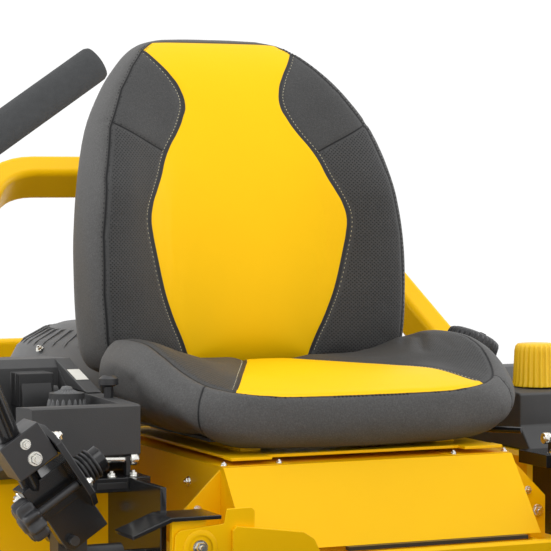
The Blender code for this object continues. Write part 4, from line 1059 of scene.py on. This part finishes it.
# In the right console's tray: a ribbed vent dome, a finned latch and a plug. A plain sticker lies on its rim.
tray = fluted(Work(), ((0, 0.0275), (0.030, 0.0268), (0.044, 0.0245), (0.053, 0.0185), (0.0575, 0.0090)),
              (-0.346, -0.050, 0.5303), (0, 0, 1), 18, 0.0030, 144)
tray.turned([(0, 0.0625), (0.0060, 0.0615), (0.0085, 0.0580), (0.0085, 0.0540), (0, 0.0540)],
            (-0.346, -0.050, 0.5303), (0, 0, 1), 24)
tray.turned([(0.0260, 0.004), (0.0315, 0.004), (0.0330, 0), (0.0260, 0)], (-0.346, -0.050, 0.5303), (0, 0, 1),
            36)
tray.piece("tray_vent_dome", cover_plastic, "chassis", slot="mat_fender_right", angle=55)
latch = Work().prism([(0.014, 0.5303), (0.014, 0.578), (0.020, 0.594), (0.034, 0.602), (0.050, 0.600),
                      (0.060, 0.588), (0.062, 0.5303)],
                     "x", -0.385, -0.343)
for i in range(6):
    y = 0.019 + 0.0068 * i
    latch.prism([(y, 0.560), (y + 0.003, 0.560), (y + 0.003, 0.6045), (y, 0.6045)], "x", -0.388, -0.340)
latch.rod((-0.330, 0.034, 0.578), (-0.343, 0.034, 0.578), 0.0085, 18)
latch.piece("tray_latch", satin_black, "chassis", 0.0025, slot="mat_fender_right")
Work().turned([(0, 0.0300), (0.0080, 0.0292), (0.0125, 0.0255), (0.0130, 0.0180), (0.0060, 0.0150),
               (0.0060, 0), (0, 0)],
              (-0.3005, -0.082, 0.5775), (0, 0, 1), 28).piece("tray_plug", smooth_plastic, "chassis",
                                                              slot="mat_fender_right")
RIM = [(-0.030, 0.5808), (0.050, 0.5815), (0.100, 0.6172)]
Work().prism(RIM, "x", -0.3118, -0.2905).piece("console_rim", console_plastic, "chassis", 0.0015,
                                               slot="mat_fender_right")
slope = math.atan2(RIM[2][1] - RIM[0][1], RIM[2][0] - RIM[0][0])
sheet = Matrix.Translation((-0.3012, 0.035, 0.5994)) @ Matrix.Rotation(slope, 4, "X")
Work().box((-0.0085, -0.020, 0), (0.0085, 0.020, 0.0004), sheet).piece("plain_label", pale_sticker, "chassis",
                                                                       slot="mat_fender_right")

# ---------------------------------------------------------------- wheels
REAR_R, REAR_WIDTH, REAR_X = 0.254, 0.216, 0.447
CASTER_R, CASTER_WIDTH, CASTER_X, CASTER_Y, CASTER_TRAIL = 0.140, 0.145, 0.430, -0.800, 0.055


def both_sides(half):
    """Closes a wheel's profile, given for one side; a corner on the middle line is used once."""
    ring = half + [(r, -h) for r, h in reversed(half) if h]
    return ring + [ring[0]]


def carcass(radius, half, bead, crown):
    """A tyre's section: bead, sidewall with two raised rings, shoulder and crown."""
    wall = [(bead, 0.70), (bead + 0.003, 0.80), (bead + 0.009, 0.87), (bead + 0.012, 0.885),
            (bead + 0.015, 0.905), (bead + 0.026, 0.945), (radius * 0.72, 0.985), (radius * 0.735, 1.0),
            (radius * 0.75, 0.985), (radius * 0.82, 0.985), (radius * 0.89, 0.945)]
    return both_sides([(r, half * w) for r, w in wall + crown])


for label, s in SIDES:
    centre, half = Vector((s * REAR_X, REAR_AXLE_Y, REAR_R)), REAR_WIDTH / 2
    body = f"rear_wheel_{label}"
    tyre = Work().turned(carcass(REAR_R, half, 0.108, [(REAR_R - 0.024, 0.88), (REAR_R - 0.014, 0.76),
                                                       (REAR_R - 0.0095, 0.55), (REAR_R - 0.0085, 0.20)]),
                         centre, (s, 0, 0), 72)
    axle = aimed(centre, (s, 0, 0))
    pitches = 30
    for pitch in range(pitches):
        for low, high, lean, start in ((-0.11, 0.11, 0.0, 0.0), (0.17, 0.43, 0.35, 0.25),
                                       (-0.43, -0.17, 0.35, 0.25), (0.50, 0.86, 0.55, 0.60),
                                       (-0.86, -0.50, 0.55, 0.60)):
            corners = []
            for w in (low, high):
                for edge in (0.0, 0.62):
                    a = 2 * math.pi * (pitch + start + edge + lean
                                       * (abs(w) - min(abs(low), abs(high)))) / pitches
                    top = REAR_R - 0.0005 - 0.034 * max(0.0, abs(w) - 0.45) ** 1.2
                    for r, narrow in ((top - 0.013, 1.0), (top, 0.94)):
                        place = (low + high) / 2 + (w - (low + high) / 2) * narrow
                        corners.append(axle @ Vector((r * math.cos(a), r * math.sin(a), half * place)))
            block = bmesh.new()
            c = [block.verts.new(p) for p in corners]
            for face in ((0, 1, 3, 2), (4, 6, 7, 5), (0, 4, 5, 1), (2, 3, 7, 6), (1, 5, 7, 3), (0, 2, 6, 4)):
                block.faces.new([c[k] for k in face])
            tyre.take(block)
    tyre.piece(f"rear_tyre_tread_{label}", tyre_rubber, body, replaces=(f"rear_tyre_{label}",), angle=32)
    rim = [(0.0155, 0.026), (0.020, 0.0265), (0.042, 0.0265), (0.048, 0.024), (0.080, -0.001),
           (0.0885, -0.004), (0.0925, -0.002), (0.0945, 0.010), (0.0945, 0.062), (0.0970, 0.070),
           (0.1070, 0.0745), (0.1077, 0.0755), (0.1077, -0.0755), (0.1060, -0.0745), (0.0950, 0.0),
           (0.0920, 0.016), (0.048, 0.044), (0.0155, 0.044), (0.0155, 0.026)]
    wheel = Work().turned([(r, -h) for r, h in rim], centre, (s, 0, 0), 64)
    wheel.piece(f"rear_wheel_rim_{label}", gloss_black, body, replaces=(f"rear_rim_{label}",), angle=30)
    fixings = Work()
    for i in range(4):
        a = math.pi / 4 + i * math.pi / 2
        fixings.bolt(centre + Vector((-s * 0.0262, 0.033 * math.cos(a), 0.033 * math.sin(a))), (s, 0, 0),
                     0.0085)
    fixings.turned([(0, 0.010), (0.0125, 0.009), (0.0160, 0.004), (0.0165, 0), (0, 0)],
                   centre - Vector((s * 0.0265, 0, 0)), (s, 0, 0), 28)
    fixings.rod(centre + Vector((s * 0.012, 0, 0.088)), centre + Vector((s * 0.040, 0, 0.080)), 0.0035, 10)
    fixings.piece(f"rear_wheel_fixings_{label}", zinc, body, slot=f"mat_rear_rim_{label}")

    centre, half = Vector((s * CASTER_X, CASTER_Y + CASTER_TRAIL, CASTER_R)), CASTER_WIDTH / 2
    body, grooves = f"caster_wheel_{label}", []
    for w in (0.46, 0.16):
        grooves += [(CASTER_R, w + 0.05), (CASTER_R - 0.0045, w + 0.035), (CASTER_R - 0.0045, w - 0.035),
                    (CASTER_R, w - 0.05)]
    tyre = Work().turned(carcass(CASTER_R, half, 0.066, [(CASTER_R - 0.009, 0.84),
                                                         (CASTER_R - 0.003, 0.70)] + grooves), centre,
                         (s, 0, 0), 72)
    tyre.piece(f"caster_tyre_ribbed_{label}", tyre_rubber, body, replaces=(f"caster_tyre_{label}",), angle=32)
    half_rim = [(0.0103, 0.0760), (0.0240, 0.0760), (0.0260, 0.0740), (0.0260, 0.0140), (0.0290, 0.0100),
                (0.0520, 0.0100), (0.0565, 0.0140), (0.0585, 0.0380), (0.0620, 0.0480), (0.0657, 0.0520)]
    Work().turned(both_sides(half_rim), centre, (s, 0, 0), 56).piece(
        f"caster_wheel_rim_{label}", gloss_black, body, replaces=(f"caster_rim_{label}",), angle=30)
    fixings = Work()
    for out in (-1, 1):
        fixings.bolt(centre + Vector((out * 0.0925, 0, 0)), (out, 0, 0), 0.0110)
    fixings.bolt((s * CASTER_X, CASTER_Y, 0.4260), (0, 0, 1), 0.0130)
    fixings.piece(f"caster_fixings_{label}", zinc, f"caster_{label}", slot=f"mat_caster_fork_{label}")

    centre = Vector((s * 0.497, -0.490, 0.108))
    roller = [(0.0075, 0.018), (0.0200, 0.018), (0.0220, 0.0150), (0.0330, 0.0150), (0.0360, 0.0180),
              (0.0400, 0.0180), (0.0462, 0.0080), (0.0478, 0.0040), (0.0480, 0)]
    Work().turned(both_sides(roller), centre, (s, 0, 0), 48).piece(
        f"gauge_roller_{label}", smooth_plastic, f"gauge_wheel_{label}", replaces=(f"gauge_wheel_{label}",),
        angle=30)

# ---------------------------------------------------------------- engine
ENGINE_Y = 0.600
cover = Work().turned([(0, 0.1160), (0.0950, 0.1160), (0.1300, 0.1130), (0.1550, 0.1050), (0.1850, 0.0900),
                       (0.2000, 0.0780), (0.2110, 0.0570), (0.2155, 0.0400), (0.2150, 0.0130),
                       (0.2120, 0.0060), (0.2120, 0.0003), (0, 0.0003)],
                      (0, ENGINE_Y - 0.020, 0.5200), (0, 0, 1), 72)
for i in range(48):
    turn = Matrix.Translation((0, ENGINE_Y - 0.020, 0)) @ Matrix.Rotation(2 * math.pi * i / 48, 4, "Z")
    cover.prism([(0.140, 0.628), (0.158, 0.6265), (0.190, 0.6085), (0.198, 0.5980), (0.188, 0.5980),
                 (0.140, 0.620)], "y", -0.0022, 0.0022,
                turn)
cover.piece("engine_cover_ribbed", cover_plastic, "chassis", replaces=("blower_housing",), angle=32)
fins, leads = Work(), Work()
for s in (-1, 1):
    turn = Matrix.Translation((0, ENGINE_Y, 0.462)) @ Matrix.Rotation(-s * math.radians(48), 4, "Z")
    for i in range(11):
        y = 0.128 + 0.0094 * i
        fins.box((-0.0615, y, -0.0600), (0.0615, y + 0.0026, 0.0565), turn)
    plug_base = turn @ Vector((0.0, 0.2622, 0.012))
    outward = (turn.to_3x3() @ Vector((0, 1, 0))).normalized()
    leads.rod(plug_base, plug_base + outward * 0.020, 0.0085, 16, 0.0065)
    leads.tube(rounded([plug_base + outward * 0.018, plug_base + outward * 0.030 + Vector((0, 0, 0.010)),
                        plug_base + outward * 0.016 + Vector((0, 0, 0.040)),
                        turn @ Vector((0.0, 0.200, 0.062))], 8), 0.0032, 8)
fins.piece("engine_cooling_fins", cast, "chassis", slot="mat_engine_crankcase")
leads.piece("engine_plug_leads", smooth_plastic, "chassis", slot="mat_engine_crankcase")
extras = Work()
extras.rod((0.155, 0.470, 0.386), (0.168, 0.452, 0.585), 0.0060, 14)
extras.turned([(0, 0.016), (0.010, 0.015), (0.013, 0.010), (0.013, 0.0), (0, 0)], (0.168, 0.452, 0.580),
              (0.05, -0.09, 1), 24)
extras.piece("dipstick_tube", yellow_plastic, "chassis", slot="mat_oil_filter")
guard = Work()
for i in range(9):
    x = -0.104 + 0.026 * i
    guard.box((x - 0.0035, 0.8785, 0.425), (x + 0.0035, 0.8800, 0.485))
guard.prism([(-0.120, 0.4180), (0.120, 0.4180), (0.120, 0.4250), (-0.120, 0.4250)], "y", 0.8782, 0.8802)
guard.prism([(-0.120, 0.4850), (0.120, 0.4850), (0.120, 0.4920), (-0.120, 0.4920)], "y", 0.8782, 0.8802)
guard.piece("muffler_guard", satin_black, "chassis", 0.0006, slot="mat_muffler")
clips = Work()
for x in (-0.067, 0.137):
    clips.prism([(0.600, 0.6500), (0.630, 0.6500), (0.628, 0.6900), (0.602, 0.6900)], "x", x - 0.0015,
                x + 0.0015)
for i in range(6):
    a = 2 * math.pi * i / 6 + 0.3
    clips.bolt((0.2020 * math.cos(a), ENGINE_Y - 0.020 + 0.2020 * math.sin(a), 0.5990),
               (0.5 * math.cos(a), 0.5 * math.sin(a), 0.8), 0.0055)
clips.piece("engine_cover_clips", zinc, "chassis", slot="mat_blower_housing")

# ---------------------------------------------------------------- mowing deck
DECK_TOP = 0.192
hardware, hangers = Work(), Work()
for x, y in ((-0.425, -0.200), (0.0, -0.335), (0.425, -0.200)):
    for i in range(6):
        a = math.pi / 6 + i * math.pi / 3
        hardware.bolt((x + 0.098 * math.cos(a), y + 0.098 * math.sin(a), DECK_TOP + 0.0003), (0, 0, 1),
                      0.0065)
for s in (-1, 1):
    hardware.bolt((s * 0.5208, -0.490, 0.108), (s, 0, 0), 0.0085)
    hardware.turned([(0.0060, 0.018), (0.0085, 0.018), (0.0085, 0.006), (0.0130, 0.004), (0.0150, 0),
                     (0.0060, 0)],
                    (s * 0.250, -0.300, DECK_TOP + 0.0003), (0, 0, 1), 24)
    for y in (-0.300, -0.110):
        x = s * 0.205
        hangers.prism([(y - 0.016, DECK_TOP + 0.0003), (y + 0.016, DECK_TOP + 0.0003), (y + 0.009, 0.216),
                       (y - 0.009, 0.216)], "x",
                      x - 0.0025, x + 0.0025)
        hardware.bolt((x + s * 0.0027, y, 0.206), (s, 0, 0), 0.0060)
hardware.piece("deck_hardware", zinc, "deck", slot="mat_deck_shell")
hangers.piece("deck_hanger_ears", yellow_paint, "deck", 0.0006, slot="mat_deck_shell")
